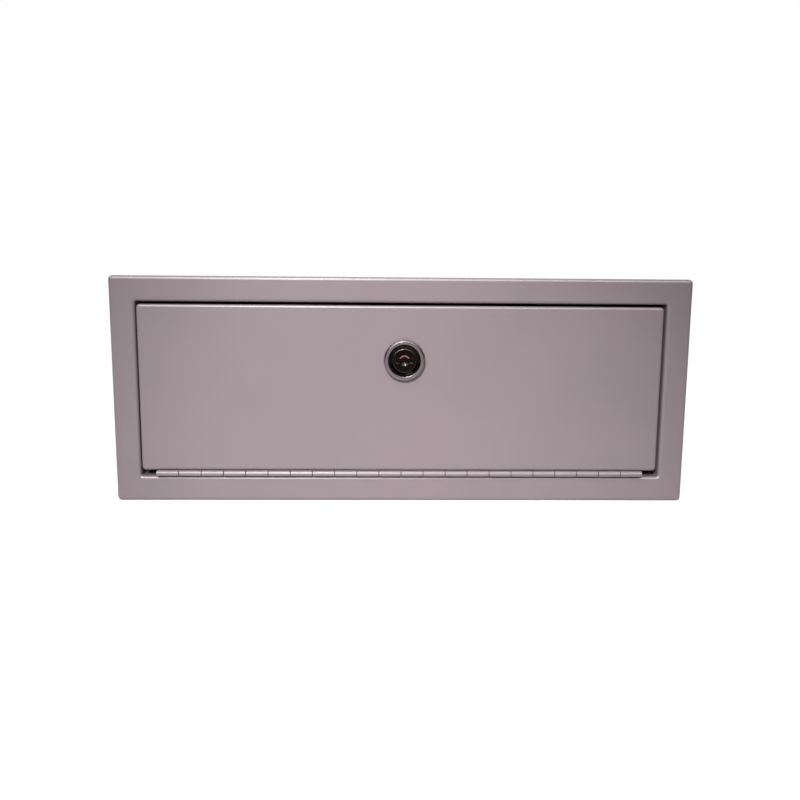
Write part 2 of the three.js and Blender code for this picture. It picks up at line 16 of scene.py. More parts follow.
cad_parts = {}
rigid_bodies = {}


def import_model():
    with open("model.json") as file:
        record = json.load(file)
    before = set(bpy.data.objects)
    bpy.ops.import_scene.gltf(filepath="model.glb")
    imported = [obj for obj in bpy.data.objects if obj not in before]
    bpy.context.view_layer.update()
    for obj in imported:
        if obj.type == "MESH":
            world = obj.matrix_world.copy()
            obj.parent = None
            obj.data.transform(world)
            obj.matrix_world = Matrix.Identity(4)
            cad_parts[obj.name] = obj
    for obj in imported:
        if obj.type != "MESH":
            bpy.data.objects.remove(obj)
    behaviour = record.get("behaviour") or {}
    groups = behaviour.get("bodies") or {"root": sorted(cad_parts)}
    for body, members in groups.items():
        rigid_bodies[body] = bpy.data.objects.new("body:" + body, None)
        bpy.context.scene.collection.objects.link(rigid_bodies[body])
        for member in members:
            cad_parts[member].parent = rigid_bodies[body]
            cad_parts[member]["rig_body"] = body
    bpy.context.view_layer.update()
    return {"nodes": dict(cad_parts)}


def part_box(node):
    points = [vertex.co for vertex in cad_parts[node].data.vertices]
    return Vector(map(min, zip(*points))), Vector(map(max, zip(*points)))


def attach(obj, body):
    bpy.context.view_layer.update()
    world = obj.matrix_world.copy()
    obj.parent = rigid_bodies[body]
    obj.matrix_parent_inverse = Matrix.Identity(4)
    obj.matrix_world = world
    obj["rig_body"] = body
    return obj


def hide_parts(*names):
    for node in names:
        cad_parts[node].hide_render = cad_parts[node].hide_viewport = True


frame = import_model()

# %% [markdown]
# ## Millimetres
# Sheet metal and locks are drawn in millimetres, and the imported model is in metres. Every shape here
# is drawn in millimetres from the same origin, and shrinks to metres as it becomes a piece.

# %% Units and places
MM = 0.001


def place(node):
    """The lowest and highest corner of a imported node, in millimetres."""
    low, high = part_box(node)
    return low / MM, high / MM


case_low, case_high = place("front_frame")
face_y = case_low.y
case_width = case_high.x - case_low.x
case_height = case_high.z - case_low.z
case_middle = (case_low.z + case_high.z) / 2
print("front face at y", round(face_y, 2), "size", round(case_width, 2), round(case_height, 2))

# %% [markdown]
# ## Camera
# The drawer is seen from in front, a little to its left and from just below its top edge, so the
# verticals lean in towards the bottom. A camera is aimed by three turns: a tilt about its own X, then
# a yaw about the upright, with a small roll first because the camera was not quite level.

# %% Camera
CAMERA_PLACE = (-12.52, -584.04, 126.22)
YAW, TILT, ROLL = -1.447, 81.386, 0.453
LENS = SENSOR_WIDTH = 36
NEAREST = 0.01


def turn_about(axis, degrees):
    return Matrix.Rotation(math.radians(degrees), 4, axis)


camera_data = bpy.data.cameras.new("camera")
camera_data.lens, camera_data.sensor_width = LENS, SENSOR_WIDTH
camera_data.clip_start = NEAREST
camera = bpy.data.objects.new("camera", camera_data)
bpy.context.scene.collection.objects.link(camera)
camera.matrix_world = (
    Matrix.Translation(Vector(CAMERA_PLACE) * MM)
    @ turn_about("Z", YAW) @ turn_about("X", TILT) @ turn_about("Z", ROLL)
)
bpy.context.scene.camera = camera
print("camera at", [round(value, 3) for value in camera.location])

# %% [markdown]
# ## Floor
# A sheet of white paper under the drawer could be lit until it is white, but then it would throw as
# much light back up and wash out the underside of the hinge. So this paper glows a little by itself,
# which keeps it white as far as the eye goes, and matt surfaces are shown a plain grey paper instead.

# %% White floor
FLOOR_HALF_WIDTH = 8
PAPER_WHITE, PAPER_GLOW, PAPER_BOUNCE = 0.94, 0.45, 0.5


def white_floor():
    bm = bmesh.new()
    bmesh.ops.create_grid(bm, x_segments=1, y_segments=1, size=FLOOR_HALF_WIDTH)
    mesh = bpy.data.meshes.new("floor")
    bm.to_mesh(mesh)
    bm.free()
    floor = bpy.data.objects.new("floor", mesh)
    bpy.context.scene.collection.objects.link(floor)
    paper = bpy.data.materials.new("white_paper")
    paper.use_nodes = True
    nodes, links = paper.node_tree.nodes, paper.node_tree.links
    shader = nodes["Principled BSDF"]
    shader.inputs["Base Color"].default_value = (PAPER_WHITE, PAPER_WHITE, PAPER_WHITE, 1)
    shader.inputs["Emission Color"].default_value = (1, 1, 1, 1)
    shader.inputs["Emission Strength"].default_value = PAPER_GLOW
    shader.inputs["Roughness"].default_value = 0.9
    shader.inputs["Specular IOR Level"].default_value = 0.1
    bounce, path = nodes.new("ShaderNodeBsdfDiffuse"), nodes.new("ShaderNodeLightPath")
    bounce.inputs["Color"].default_value = (PAPER_BOUNCE, PAPER_BOUNCE, PAPER_BOUNCE, 1)
    mix = nodes.new("ShaderNodeMixShader")
    links.new(path.outputs["Is Diffuse Ray"], mix.inputs["Fac"])
    links.new(shader.outputs["BSDF"], mix.inputs[1])
    links.new(bounce.outputs["BSDF"], mix.inputs[2])
    links.new(mix.outputs["Shader"], nodes["Material Output"].inputs["Surface"])
    mesh.materials.append(paper)
    return floor


print("floor:", white_floor().name, "glow", PAPER_GLOW)

# %% [markdown]
# ## Dome
# Panels alone could light the drawer, but panels near the table leave its far side dark. So the main
# light is a dome: a world that is bright overhead and fades to nothing at the horizon. Folds that
# face up shine under it and upright faces stay at a middle tone, which is what makes thin sheet metal
# look folded. The camera itself sees a plain white world.

# %% Dome
ZENITH_STRENGTH, FADE_POWER = 1.6, 3


def dome_world():
    world = bpy.data.worlds.new("studio")
    world.use_nodes = True
    nodes, links = world.node_tree.nodes, world.node_tree.links
    dome, backdrop = nodes["Background"], nodes.new("ShaderNodeBackground")
    direction, parts = nodes.new("ShaderNodeTexCoord"), nodes.new("ShaderNodeSeparateXYZ")
    above, curve, gain = (nodes.new("ShaderNodeMath") for _ in range(3))
    above.operation, curve.operation, gain.operation = "MAXIMUM", "POWER", "MULTIPLY"
    above.inputs[1].default_value = 0
    curve.inputs[1].default_value = FADE_POWER
    gain.inputs[1].default_value = ZENITH_STRENGTH
    links.new(direction.outputs["Generated"], parts.inputs["Vector"])
    links.new(parts.outputs["Z"], above.inputs[0])
    links.new(above.outputs["Value"], curve.inputs[0])
    links.new(curve.outputs["Value"], gain.inputs[0])
    links.new(gain.outputs["Value"], dome.inputs["Strength"])
    dome.inputs["Color"].default_value = (1, 1, 1, 1)
    backdrop.inputs["Color"].default_value = (1, 1, 1, 1)
    path, mix = nodes.new("ShaderNodeLightPath"), nodes.new("ShaderNodeMixShader")
    links.new(path.outputs["Is Camera Ray"], mix.inputs["Fac"])
    links.new(dome.outputs["Background"], mix.inputs[1])
    links.new(backdrop.outputs["Background"], mix.inputs[2])
    links.new(mix.outputs["Shader"], nodes["World Output"].inputs["Surface"])
    return world


bpy.context.scene.world = dome_world()
bpy.context.scene.view_settings.view_transform = "Standard"
print("dome strength overhead:", ZENITH_STRENGTH)

# %% [markdown]
# ## Lamps
# A soft spot, high on the left, lifts the upright faces and throws the lock's shadow down to the
# right. The other lamps are there to be mirrored: a wide panel draws the bright lines along the
# bends, and two small ones put a glint on the turned ring and one in the keyway. The wide panel and
# the keyway's lamp reach only reflections, because on the matt side of the coat they would flatten it.

# %% Lamps
UNDER_FRONT, FRONT_MIDDLE, LOCK_PLACE = (0, -0.138, -0.005), (0, -0.138, 0.06), (0, -0.138, 0.08)


def hang_lamp(name, data, where, aim):
    """A lamp at one point, in metres, that faces another."""
    lamp = bpy.data.objects.new(name, data)
    bpy.context.scene.collection.objects.link(lamp)
    lamp.location = where
    lamp.rotation_euler = (Vector(aim) - Vector(where)).to_track_quat("-Z", "Y").to_euler()
    return lamp


def soft_panel(name, where, aim, width, height, watts, only_reflections=False):
    data = bpy.data.lights.new(name, "AREA")
    data.shape = "RECTANGLE"
    data.size, data.size_y = width, height
    data.energy = watts
    hang_lamp(name, data, where, aim).visible_diffuse = not only_reflections


def soft_spot(name, where, aim, watts, cone, size):
    """A round lamp whose light fades smoothly from the middle of its cone to the rim."""
    data = bpy.data.lights.new(name, "SPOT")
    data.energy, data.spot_size, data.spot_blend = watts, math.radians(cone), 1
    data.shadow_soft_size = size
    hang_lamp(name, data, where, aim)


soft_spot("front_spot", (-0.2, -1.05, 0.6), UNDER_FRONT, watts=55, cone=27, size=0.05)
soft_panel(
    "edge_panel", (-0.05, -0.85, 0.92), FRONT_MIDDLE,
    width=1.8, height=0.55, watts=30, only_reflections=True,
)
soft_panel("ring_glint", (-0.62, -0.9, 0.51), LOCK_PLACE, width=0.05, height=0.05, watts=1)
soft_panel(
    "key_glint", (-0.13, -0.61, 0.95), LOCK_PLACE,
    width=0.08, height=0.08, watts=7, only_reflections=True,
)
print("lamps:", [light.name for light in bpy.data.lights])

# %% [markdown]
# ## What every finish needs
# A finish is a shader with patterns wired into it. The patterns read the object's own coordinates,
# so they stay on the metal when a piece moves. Four small helpers do the wiring: noise to draw with,
# and three ways to use it, as colour, as height and as gloss.

# %% Helpers for the finishes
def start_finish(name, colour, metallic, roughness):
    """A new material with its shader, and the object's own coordinates to draw patterns in."""
    material = bpy.data.materials.new(name)
    material.use_nodes = True
    tree = material.node_tree
    shader = tree.nodes["Principled BSDF"]
    shader.inputs["Base Color"].default_value = (*colour, 1)
    shader.inputs["Metallic"].default_value = metallic
    shader.inputs["Roughness"].default_value = roughness
    material.diffuse_color = (*colour, 1)
    return material, tree, shader, tree.nodes.new("ShaderNodeTexCoord").outputs["Object"]


def add_noise(tree, coordinates, scale, detail=2.0):
    """Cloudy noise, with a given number of clouds to the metre."""
    noise = tree.nodes.new("ShaderNodeTexNoise")
    noise.inputs["Scale"].default_value = scale
    noise.inputs["Detail"].default_value = detail
    tree.links.new(coordinates, noise.inputs["Vector"])
    return noise.outputs["Fac"]


def tint(tree, shader, pattern, dark, light, low=0.35, high=0.65):
    """Lets a pattern move the colour between two tones."""
    ramp = tree.nodes.new("ShaderNodeValToRGB")
    ramp.color_ramp.elements[0].position, ramp.color_ramp.elements[1].position = low, high
    ramp.color_ramp.elements[0].color, ramp.color_ramp.elements[1].color = (*dark, 1), (*light, 1)
    tree.links.new(pattern, ramp.inputs["Fac"])
    tree.links.new(ramp.outputs["Color"], shader.inputs["Base Color"])
    return ramp.color_ramp


def ripple(tree, shader, pattern, height, strength=1.0):
    """Lets a pattern raise the surface by a height in metres."""
    bump = tree.nodes.new("ShaderNodeBump")
    bump.inputs["Distance"].default_value = height
    bump.inputs["Strength"].default_value = strength
    tree.links.new(pattern, bump.inputs["Height"])
    tree.links.new(bump.outputs["Normal"], shader.inputs["Normal"])


def vary_roughness(tree, shader, pattern, low, high):
    """Lets a pattern move the gloss between two roughnesses."""
    spread = tree.nodes.new("ShaderNodeMapRange")
    spread.inputs["To Min"].default_value, spread.inputs["To Max"].default_value = low, high
    tree.links.new(pattern, spread.inputs["Value"])
    tree.links.new(spread.outputs["Result"], shader.inputs["Roughness"])


print("patterns can drive: colour, height, roughness")

# %% [markdown]
# ## Powder coat
# The steel is sprayed with powder and baked, which leaves a satin skin with a fine orange-peel
# ripple and a very faint unevenness of tone. A flat colour would look like plastic film, so two
# noises carry it: a wide one drifts the colour, and a fine one ripples the surface through bump.

# %% Powder coat
def powder_coat():
    material, tree, shader, here = start_finish(
        "powder_coat", (0.236, 0.188, 0.205), metallic=0, roughness=0.36,
    )
    drift = add_noise(tree, here, scale=26, detail=4)
    tint(tree, shader, drift, dark=(0.229, 0.184, 0.2), light=(0.243, 0.192, 0.21))
    ripple(tree, shader, add_noise(tree, here, scale=900), height=0.00004, strength=0.5)
    return material


coat = powder_coat()
print("finish:", coat.name)

# %% [markdown]
# ## Metals
# The ring round the lock is turned on a lathe and left bright, so its tool marks are circles. A
# noise that reads only the distance from the lock's axis makes such circles, and as bump they
# spread each highlight into a streak across the ring. The cylinder and its key plug are plated in
# black nickel. Round the keyway the brass colour is partly real, where keys have rubbed the plating
# through, and partly a painted warm reflection on the upper half of the lead-in. It is brightest near
# the lead-in's rim, and the plug's broken edges take a dull brown that is partly painted highlight.
# The hinge pin is steel made dark as painted shade for the gaps between the knuckles, and the hidden
# hardware is plated in zinc, whose crystals give it a mottled grey.

# %% Metals
lock_low, lock_high = place("lock_bezel")
lock_x, lock_z = (lock_low.x + lock_high.x) / 2, (lock_low.z + lock_high.z) / 2


def distance_from_lock(tree, here):
    """How far a point is from the lock's axis, in metres."""
    centre = tree.nodes.new("ShaderNodeMapping")
    centre.inputs["Location"].default_value = (-lock_x * MM, 0, -lock_z * MM)
    flatten = tree.nodes.new("ShaderNodeVectorMath")
    flatten.operation = "MULTIPLY"
    flatten.inputs[1].default_value = (1, 0, 1)
    radius = tree.nodes.new("ShaderNodeVectorMath")
    radius.operation = "LENGTH"
    tree.links.new(here, centre.inputs["Vector"])
    tree.links.new(centre.outputs["Vector"], flatten.inputs[0])
    tree.links.new(flatten.outputs["Vector"], radius.inputs[0])
    return radius.outputs["Value"]


def circles_about_lock(tree, here, per_metre):
    """A pattern of fine circles round the lock's axis."""
    noise = tree.nodes.new("ShaderNodeTexNoise")
    noise.noise_dimensions = "1D"
    noise.inputs["Scale"].default_value = per_metre
    noise.inputs["Detail"].default_value = 3
    tree.links.new(distance_from_lock(tree, here), noise.inputs["W"])
    return noise.outputs["Fac"]


def turned_steel():
    material, tree, shader, here = start_finish(
        "turned_steel", (0.172, 0.147, 0.154), metallic=1, roughness=0.28,
    )
    lines = circles_about_lock(tree, here, per_metre=5200)
    tint(tree, shader, lines, dark=(0.128, 0.109, 0.114), light=(0.217, 0.186, 0.195))
    ripple(tree, shader, lines, height=0.00001, strength=0.4)
    return material


def black_nickel():
    material, tree, shader, here = start_finish(
        "black_nickel", (0.008, 0.0068, 0.0064), metallic=1, roughness=0.14,
    )
    lines = circles_about_lock(tree, here, per_metre=3600)
    tint(tree, shader, lines, dark=(0.0055, 0.0046, 0.0044), light=(0.011, 0.0092, 0.0086))
    ripple(tree, shader, lines, height=0.00002, strength=0.3)
    return material


# Radii from the lock's axis, in metres, over which the brass fades in: partly wear, partly painted warm
# reflection.
SHEEN_AND_WEAR_FROM, SHEEN_AND_WEAR_TO = 0.0019, 0.0035
BRIGHTEST_BRASS_AT, DULL_BROWN_AT = 0.55, 0.8


def brass_wear_and_painted_reflection():
    """Black near the slot, brass at the lead-in's rim (partly wear, partly a painted warm reflection),
    and dull brown further out (partly painted highlight on the broken edges).
    """
    material, tree, shader, here = start_finish(
        "brass_wear_and_painted_reflection", (0.27, 0.1, 0.09), metallic=1, roughness=0.3,
    )
    sheen_and_wear = tree.nodes.new("ShaderNodeMapRange")
    sheen_and_wear.inputs["From Min"].default_value = SHEEN_AND_WEAR_FROM
    sheen_and_wear.inputs["From Max"].default_value = SHEEN_AND_WEAR_TO
    tree.links.new(distance_from_lock(tree, here), sheen_and_wear.inputs["Value"])
    ramp = tint(
        tree, shader, sheen_and_wear.outputs["Result"],
        dark=(0.008, 0.006, 0.0055), light=(0.3, 0.125, 0.11), low=0, high=BRIGHTEST_BRASS_AT,
    )
    ramp.elements.new(DULL_BROWN_AT).color = (0.08, 0.052, 0.045, 1)
    ripple(tree, shader, add_noise(tree, here, scale=1500, detail=3), height=0.00002, strength=0.4)
    return material


# The pin's dark steel is painted shade: the pin shows only through the gaps between the knuckles, which
# it keeps dark.
def steel_painted_dark():
    material, tree, shader, here = start_finish(
        "steel_painted_dark", (0.06, 0.055, 0.05), metallic=1, roughness=0.45,
    )
    dark_tone_drift = add_noise(tree, here, scale=300, detail=3)
    tint(tree, shader, dark_tone_drift, dark=(0.04, 0.036, 0.032), light=(0.08, 0.074, 0.068))
    return material


def zinc_plate():
    material, tree, shader, here = start_finish(
        "zinc_plate", (0.38, 0.38, 0.36), metallic=1, roughness=0.36,
    )
    crystals = add_noise(tree, here, scale=420, detail=5)
    tint(tree, shader, crystals, dark=(0.34, 0.34, 0.32), light=(0.42, 0.42, 0.405))
    vary_roughness(tree, shader, crystals, low=0.28, high=0.46)
    ripple(tree, shader, add_noise(tree, here, scale=2200), height=0.00002, strength=0.4)
    return material


steel_ring, nickel, brass_and_painted_sheen = turned_steel(), black_nickel(), brass_wear_and_painted_reflection()
zinc, pin_painted_dark = zinc_plate(), steel_painted_dark()
print("lock axis at x, z", round(lock_x, 2), round(lock_z, 2))

# %% [markdown]
# ## Moulded plastic and rubber
# The tray is moulded in black plastic against a spark-eroded mould, which leaves a fine matt grain.
# The bumpers are soft rubber, which is duller still and takes a bloom of dust.

# %% Plastic and rubber
def moulded_plastic():
    material, tree, shader, here = start_finish(
        "moulded_plastic", (0.012, 0.012, 0.013), metallic=0, roughness=0.5,
    )
    grain = add_noise(tree, here, scale=1600, detail=3)
    drift = add_noise(tree, here, scale=30, detail=3)
    tint(tree, shader, drift, dark=(0.010, 0.010, 0.011), light=(0.016, 0.016, 0.017))
    vary_roughness(tree, shader, grain, low=0.42, high=0.62)
    ripple(tree, shader, grain, height=0.00006, strength=0.7)
    return material


def bumper_rubber():
    material, tree, shader, here = start_finish(
        "bumper_rubber", (0.008, 0.008, 0.008), metallic=0, roughness=0.85,
    )
    bloom = add_noise(tree, here, scale=700, detail=4)
    tint(tree, shader, bloom, dark=(0.006, 0.006, 0.006), light=(0.02, 0.019, 0.018))
    ripple(tree, shader, bloom, height=0.00005, strength=0.5)
    return material


plastic, rubber = moulded_plastic(), bumper_rubber()
print("finishes:", [material.name for material in bpy.data.materials])

# %% [markdown]
# ## From a drawn shape to a piece
# Each shape goes through the same last steps. Doubled points merge, so no seam is left open. The
# faces are turned outwards before a sheet gets its wall, or the wall would grow the wrong way. Then
# Solidify gives the sheet its thickness, Bevel breaks the cut edges, and Weighted Normal keeps the
# wide faces flat beside the small round ones. Bevel can also give the broken edges a finish of their
# own, as where plating wears off a corner, or where a painted highlight stands in for the light
# an edge catches.

# %% Finish a piece
FRONT, BACK = Vector((0, -1, 0)), Vector((0, 1, 0))
UP, DOWN = Vector((0, 0, 1)), Vector((0, 0, -1))
LEFT, RIGHT = Vector((-1, 0, 0)), Vector((1, 0, 0))
MERGE = 0.004
SMOOTH_UP_TO, BREAK_EDGES_FROM = math.radians(32), math.radians(40)


def turn_faces(bm, outward):
    """Turns all faces over if the widest one along a direction looks the wrong way."""
    widest = max(bm.faces, key=lambda face: face.calc_area() * abs(face.normal.dot(outward)))
    if widest.normal.dot(outward) < 0:
        bmesh.ops.reverse_faces(bm, faces=bm.faces)


def finish_piece(bm, node, finishes, outward=None, wall=0, edge=0, edge_finish=-1):
    """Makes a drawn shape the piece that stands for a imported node. Sizes are in millimetres."""
    finishes = finishes if isinstance(finishes, list) else [finishes]
    bmesh.ops.remove_doubles(bm, verts=bm.verts, dist=MERGE)
    bmesh.ops.recalc_face_normals(bm, faces=bm.faces)
    if outward is not None:
        turn_faces(bm, outward)
    bmesh.ops.scale(bm, vec=(MM, MM, MM), verts=bm.verts)
    for face in bm.faces:
        face.smooth = True
    name = f"{node}_{finishes[0].name}"
    mesh = bpy.data.meshes.new(name)
    bm.to_mesh(mesh)
    bm.free()
    mesh.set_sharp_from_angle(angle=SMOOTH_UP_TO)
    for finish in finishes:
        mesh.materials.append(finish)
    piece = bpy.data.objects.new(name, mesh)
    bpy.context.scene.collection.objects.link(piece)
    if wall:
        skin = piece.modifiers.new("sheet_thickness", "SOLIDIFY")
        skin.thickness, skin.offset = wall * MM, -1
        skin.use_even_offset = skin.use_quality_normals = True
    if edge:
        broken = piece.modifiers.new("broken_edges", "BEVEL")
        broken.width, broken.segments, broken.material = edge * MM, 2, edge_finish
        broken.limit_method, broken.angle_limit = "ANGLE", BREAK_EDGES_FROM
    shading = piece.modifiers.new("flat_faces_stay_flat", "WEIGHTED_NORMAL")
    shading.keep_sharp = True
    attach(piece, frame["nodes"][node]["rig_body"])
    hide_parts(node)
    low, high = Vector(piece.bound_box[0]), Vector(piece.bound_box[6])
    print(name, "size", [round(value / MM, 1) for value in high - low])
    return piece


# %% [markdown]
# ## Drawing flat shapes
# A plate starts as one square face, which is stretched, has its corners rounded by a vertex bevel,
# and is then turned into the plane it belongs to. Folding is extruding: the rim of the plate is
# pulled away at a right angle, and the edge left behind is bevelled into a bend.

# %% Plates and rings
LYING = Matrix.Identity(4)
FACING_FRONT = turn_about("X", 90)
FACING_RIGHT = Matrix(((0, 0, 1, 0), (1, 0, 0, 0), (0, 1, 0, 0), (0, 0, 0, 1)))


def plate(bm, width, height, corner, turn, middle, steps=6):
    """One face with round corners. Returns it."""
    others = set(bm.verts)
    square = bmesh.ops.create_grid(bm, x_segments=1, y_segments=1, size=0.5)["verts"]
    bmesh.ops.scale(bm, vec=(width, height, 1), verts=square)
    if corner:
        bmesh.ops.bevel(
            bm, geom=square, offset=corner, segments=steps, profile=0.5,
            affect="VERTICES", material=-1,
        )
    made = [vert for vert in bm.verts if vert not in others]
    bmesh.ops.transform(bm, matrix=Matrix.Translation(middle) @ turn, verts=made)
    return made[0].link_faces[0]


def ring(bm, radius, turn, middle, sides=32):
    """A circle of edges. Returns them."""
    place_it = Matrix.Translation(middle) @ turn
    verts = bmesh.ops.create_circle(bm, segments=sides, radius=radius, matrix=place_it)["verts"]
    return list(dict.fromkeys(edge for vert in verts for edge in vert.link_edges))


def open_up(bm, face):
    """Takes a face away and returns its rim."""
    rim = list(face.edges)
    bmesh.ops.delete(bm, geom=[face], context="FACES_ONLY")
    return rim


def fill_between(bm, edges):
    """Fills a flat outline and leaves its holes open."""
    bmesh.ops.triangle_fill(bm, use_beauty=True, use_dissolve=False, edges=edges)


print("a sheet can lie, face the front or face the right")

# %% [markdown]
# ## Folding and thickening
# A fold is an edge that is pulled away from its sheet and then rounded. A slab is a face that is
# pulled along its own direction and keeps its back. Both start from edges and faces that are found
# by where they are, so small helpers measure an edge's place and a face's direction.

# %% Folds and slabs
NEAR = 0.01
SHEET, BEND = 1.2, 2.0
CUT_EDGE = 0.15


def pull(bm, edges, way):
    """Extrudes edges along a direction and returns the new far edges."""
    made = bmesh.ops.extrude_edge_only(bm, edges=edges)["geom"]
    verts = [item for item in made if isinstance(item, bmesh.types.BMVert)]
    bmesh.ops.translate(bm, vec=way, verts=verts)
    fresh = set(verts)
    return [
        item for item in made
        if isinstance(item, bmesh.types.BMEdge) and all(vert in fresh for vert in item.verts)
    ]


def verts_of(edges):
    """The points of some edges, once each and always in the same order."""
    return list(dict.fromkeys(vert for edge in edges for vert in edge.verts))


def bend(bm, edges, radius, steps=5):
    """Rounds folded edges to a bend radius."""
    bmesh.ops.bevel(
        bm, geom=edges, offset=radius, segments=steps, profile=0.5,
        affect="EDGES", material=-1,
    )


def thicken(bm, faces, way):
    """Extrudes flat faces into a closed slab."""
    made = bmesh.ops.extrude_face_region(bm, geom=faces, use_keep_orig=True)["geom"]
    verts = [item for item in made if isinstance(item, bmesh.types.BMVert)]
    bmesh.ops.translate(bm, vec=way, verts=verts)


def widest_face(bm, way):
    """The largest face that looks along a direction. The power puts slanting faces last."""
    return max(bm.faces, key=lambda face: face.calc_area() * abs(face.normal.dot(way)) ** 4)


def middle_of(edge):
    return (edge.verts[0].co + edge.verts[1].co) / 2


def polyline(bm, points):
    """A chain of edges through points. Returns the edges in order."""
    verts = [bm.verts.new(point) for point in points]
    return [bm.edges.new(pair) for pair in zip(verts, verts[1:])]


print("sheet", SHEET, "mm, bends of", BEND, "mm")

# %% [markdown]
# ## The front frame
# The frame is one sheet with a rectangular mouth. Its outer edge is folded back over the shell, and
# the mouth's edge is folded back to line the opening. Two rounded outlines are bridged into the flat
# band, each rim is pulled back by the depth of its return, and both folds are bent.

# %% Front frame
FLANGE, FLANGE_BELOW = 14.0, 14.4
RETURN, LINING = 12.0, 20.0
CASE_CORNER, MOUTH_CORNER = 2.4, 1.0
mouth_width = case_width - 2 * FLANGE
mouth_height = case_height - FLANGE - FLANGE_BELOW
mouth_z = case_middle + (FLANGE_BELOW - FLANGE) / 2


def front_frame():
    bm = bmesh.new()
    outside = open_up(bm, plate(
        bm, case_width, case_height, CASE_CORNER, FACING_FRONT, (0, face_y, case_middle),
    ))
    mouth = open_up(bm, plate(
        bm, mouth_width, mouth_height, MOUTH_CORNER, FACING_FRONT, (0, face_y, mouth_z),
    ))
    bmesh.ops.bridge_loops(bm, edges=outside + mouth)
    pull(bm, outside, BACK * RETURN)
    pull(bm, mouth, BACK * LINING)
    bend(bm, outside + mouth, BEND)
    return finish_piece(bm, "front_frame", coat, FRONT, SHEET, CUT_EDGE)


front_frame()

# %% [markdown]
# ## The shell and its back
# Behind the frame, the shell is a tub folded up from one sheet, closed by a top sheet with short
# side folds, and a shallow cap folded round the back. A sheet with bends is quickest as a line drawn
# in its section and extruded along the case. The floor and the top have four fixing holes, so their
# flat faces are taken out and filled again round the holes.

# %% Shell and back cap
tub_low, tub_high = place("case_tub")
HOLE_RADIUS, HOLE_SIDES = 3.0, 24
HOLES_ACROSS, HOLES_ALONG = 240.0, 160.0


def drill(bm, face, z):
    """Fills a flat face again round the four fixing holes."""
    edges = open_up(bm, face)
    hole_y = (tub_low.y + tub_high.y) / 2
    for side in (-1, 1):
        for end in (-1, 1):
            middle = (side * HOLES_ACROSS / 2, hole_y + end * HOLES_ALONG / 2, z)
            edges += ring(bm, HOLE_RADIUS, LYING, middle, HOLE_SIDES)
    fill_between(bm, edges)


def folded_channel(node, way):
    """A sheet folded along Y: its flat face looks one way, and its sides go the other."""
    low, high = place(node)
    flat, free = (high.z, low.z) if way is UP else (low.z, high.z)
    corners = [(low.x, flat), (high.x, flat)]
    bm = bmesh.new()
    points = [(low.x, free), *corners, (high.x, free)]
    section = polyline(bm, [(x, low.y, z) for x, z in points])
    far = pull(bm, section, BACK * (high.y - low.y))
    folds = [
        edge for edge in bm.edges
        if edge not in section and edge not in far and any(
            abs(middle_of(edge).x - x) < NEAR and abs(middle_of(edge).z - z) < NEAR
            for x, z in corners
        )
    ]
    bend(bm, folds, BEND)
    drill(bm, widest_face(bm, way), flat)
    return finish_piece(bm, node, coat, way, SHEET, CUT_EDGE)


def back_cap():
    low, high = place("back_cap")
    bm = bmesh.new()
    middle = (0, high.y, case_middle)
    rim = list(plate(bm, case_width, case_height, CASE_CORNER, FACING_FRONT, middle).edges)
    pull(bm, rim, FRONT * (high.y - low.y))
    bend(bm, rim, BEND)
    return finish_piece(bm, "back_cap", coat, BACK, SHEET, CUT_EDGE)


folded_channel("case_tub", DOWN)
folded_channel("case_top", UP)
back_cap()

# %% [markdown]
# ## Guides, stops and bumpers
# Two angle strips on the floor keep the tray from sliding sideways. Two small angles inside the
# mouth carry rubber bumpers that the closed front rests on. The angles are folded lines like the
# shell, and a bumper is a small domed profile spun round its own axis.

# %% Guides, stops and bumpers
def folded_angle(node, points, along, length, outward, radius):
    """An L section of three points, extruded, with its one fold bent."""
    bm = bmesh.new()
    section = polyline(bm, points)
    heel = section[0].verts[1].co.copy()
    far = pull(bm, section, along * length)
    ends = set(section) | set(far)
    cross = Vector((1, 1, 1)) - along
    fold = [
        edge for edge in bm.edges
        if edge not in ends
        and all(((vert.co - heel) * cross).length < NEAR for vert in edge.verts)
    ]
    bend(bm, fold, radius, 4)
    return finish_piece(bm, node, coat, outward, SHEET, CUT_EDGE)


def turned(bm, profile, middle, axis, steps=48, joined=True):
    """Spins a profile of (radius, distance along the axis) points fully round an axis."""
    axis = Vector(axis)
    side = UP if abs(axis.z) < 0.5 else RIGHT
    middle = Vector(middle)
    points = [middle + side * radius + axis * along for radius, along in profile]
    edges = polyline(bm, points)
    if joined:
        edges.append(bm.edges.new((edges[-1].verts[1], edges[0].verts[0])))
    bmesh.ops.spin(
        bm, geom=verts_of(edges) + edges, cent=middle, axis=axis,
        angle=2 * math.pi, steps=steps, use_merge=True,
    )
    bmesh.ops.remove_doubles(bm, verts=bm.verts, dist=MERGE)


GUIDE_BEND, STOP_BEND = 1.8, 1.6
BUMPER_PROFILE = [(0, 0), (0.45, 0.05), (0.75, 0.2), (0.94, 0.48), (1, 0.75), (1, 1), (0, 1)]


def tray_guide(word, side):
    low, high = place(f"tray_guide_{word}")
    inner, outer = (high.x, low.x) if side < 0 else (low.x, high.x)
    points = [(inner, low.y, high.z), (inner, low.y, low.z), (outer, low.y, low.z)]
    folded_angle(
        f"tray_guide_{word}", points, BACK, high.y - low.y, LEFT * side, GUIDE_BEND,
    )


def door_stop(word, side):
    low, high = place(f"door_stop_{word}")
    wall, free = (low.x, high.x) if side < 0 else (high.x, low.x)
    points = [(wall, high.y, low.z), (wall, low.y, low.z), (free, low.y, low.z)]
    folded_angle(f"door_stop_{word}", points, UP, high.z - low.z, RIGHT * side, STOP_BEND)


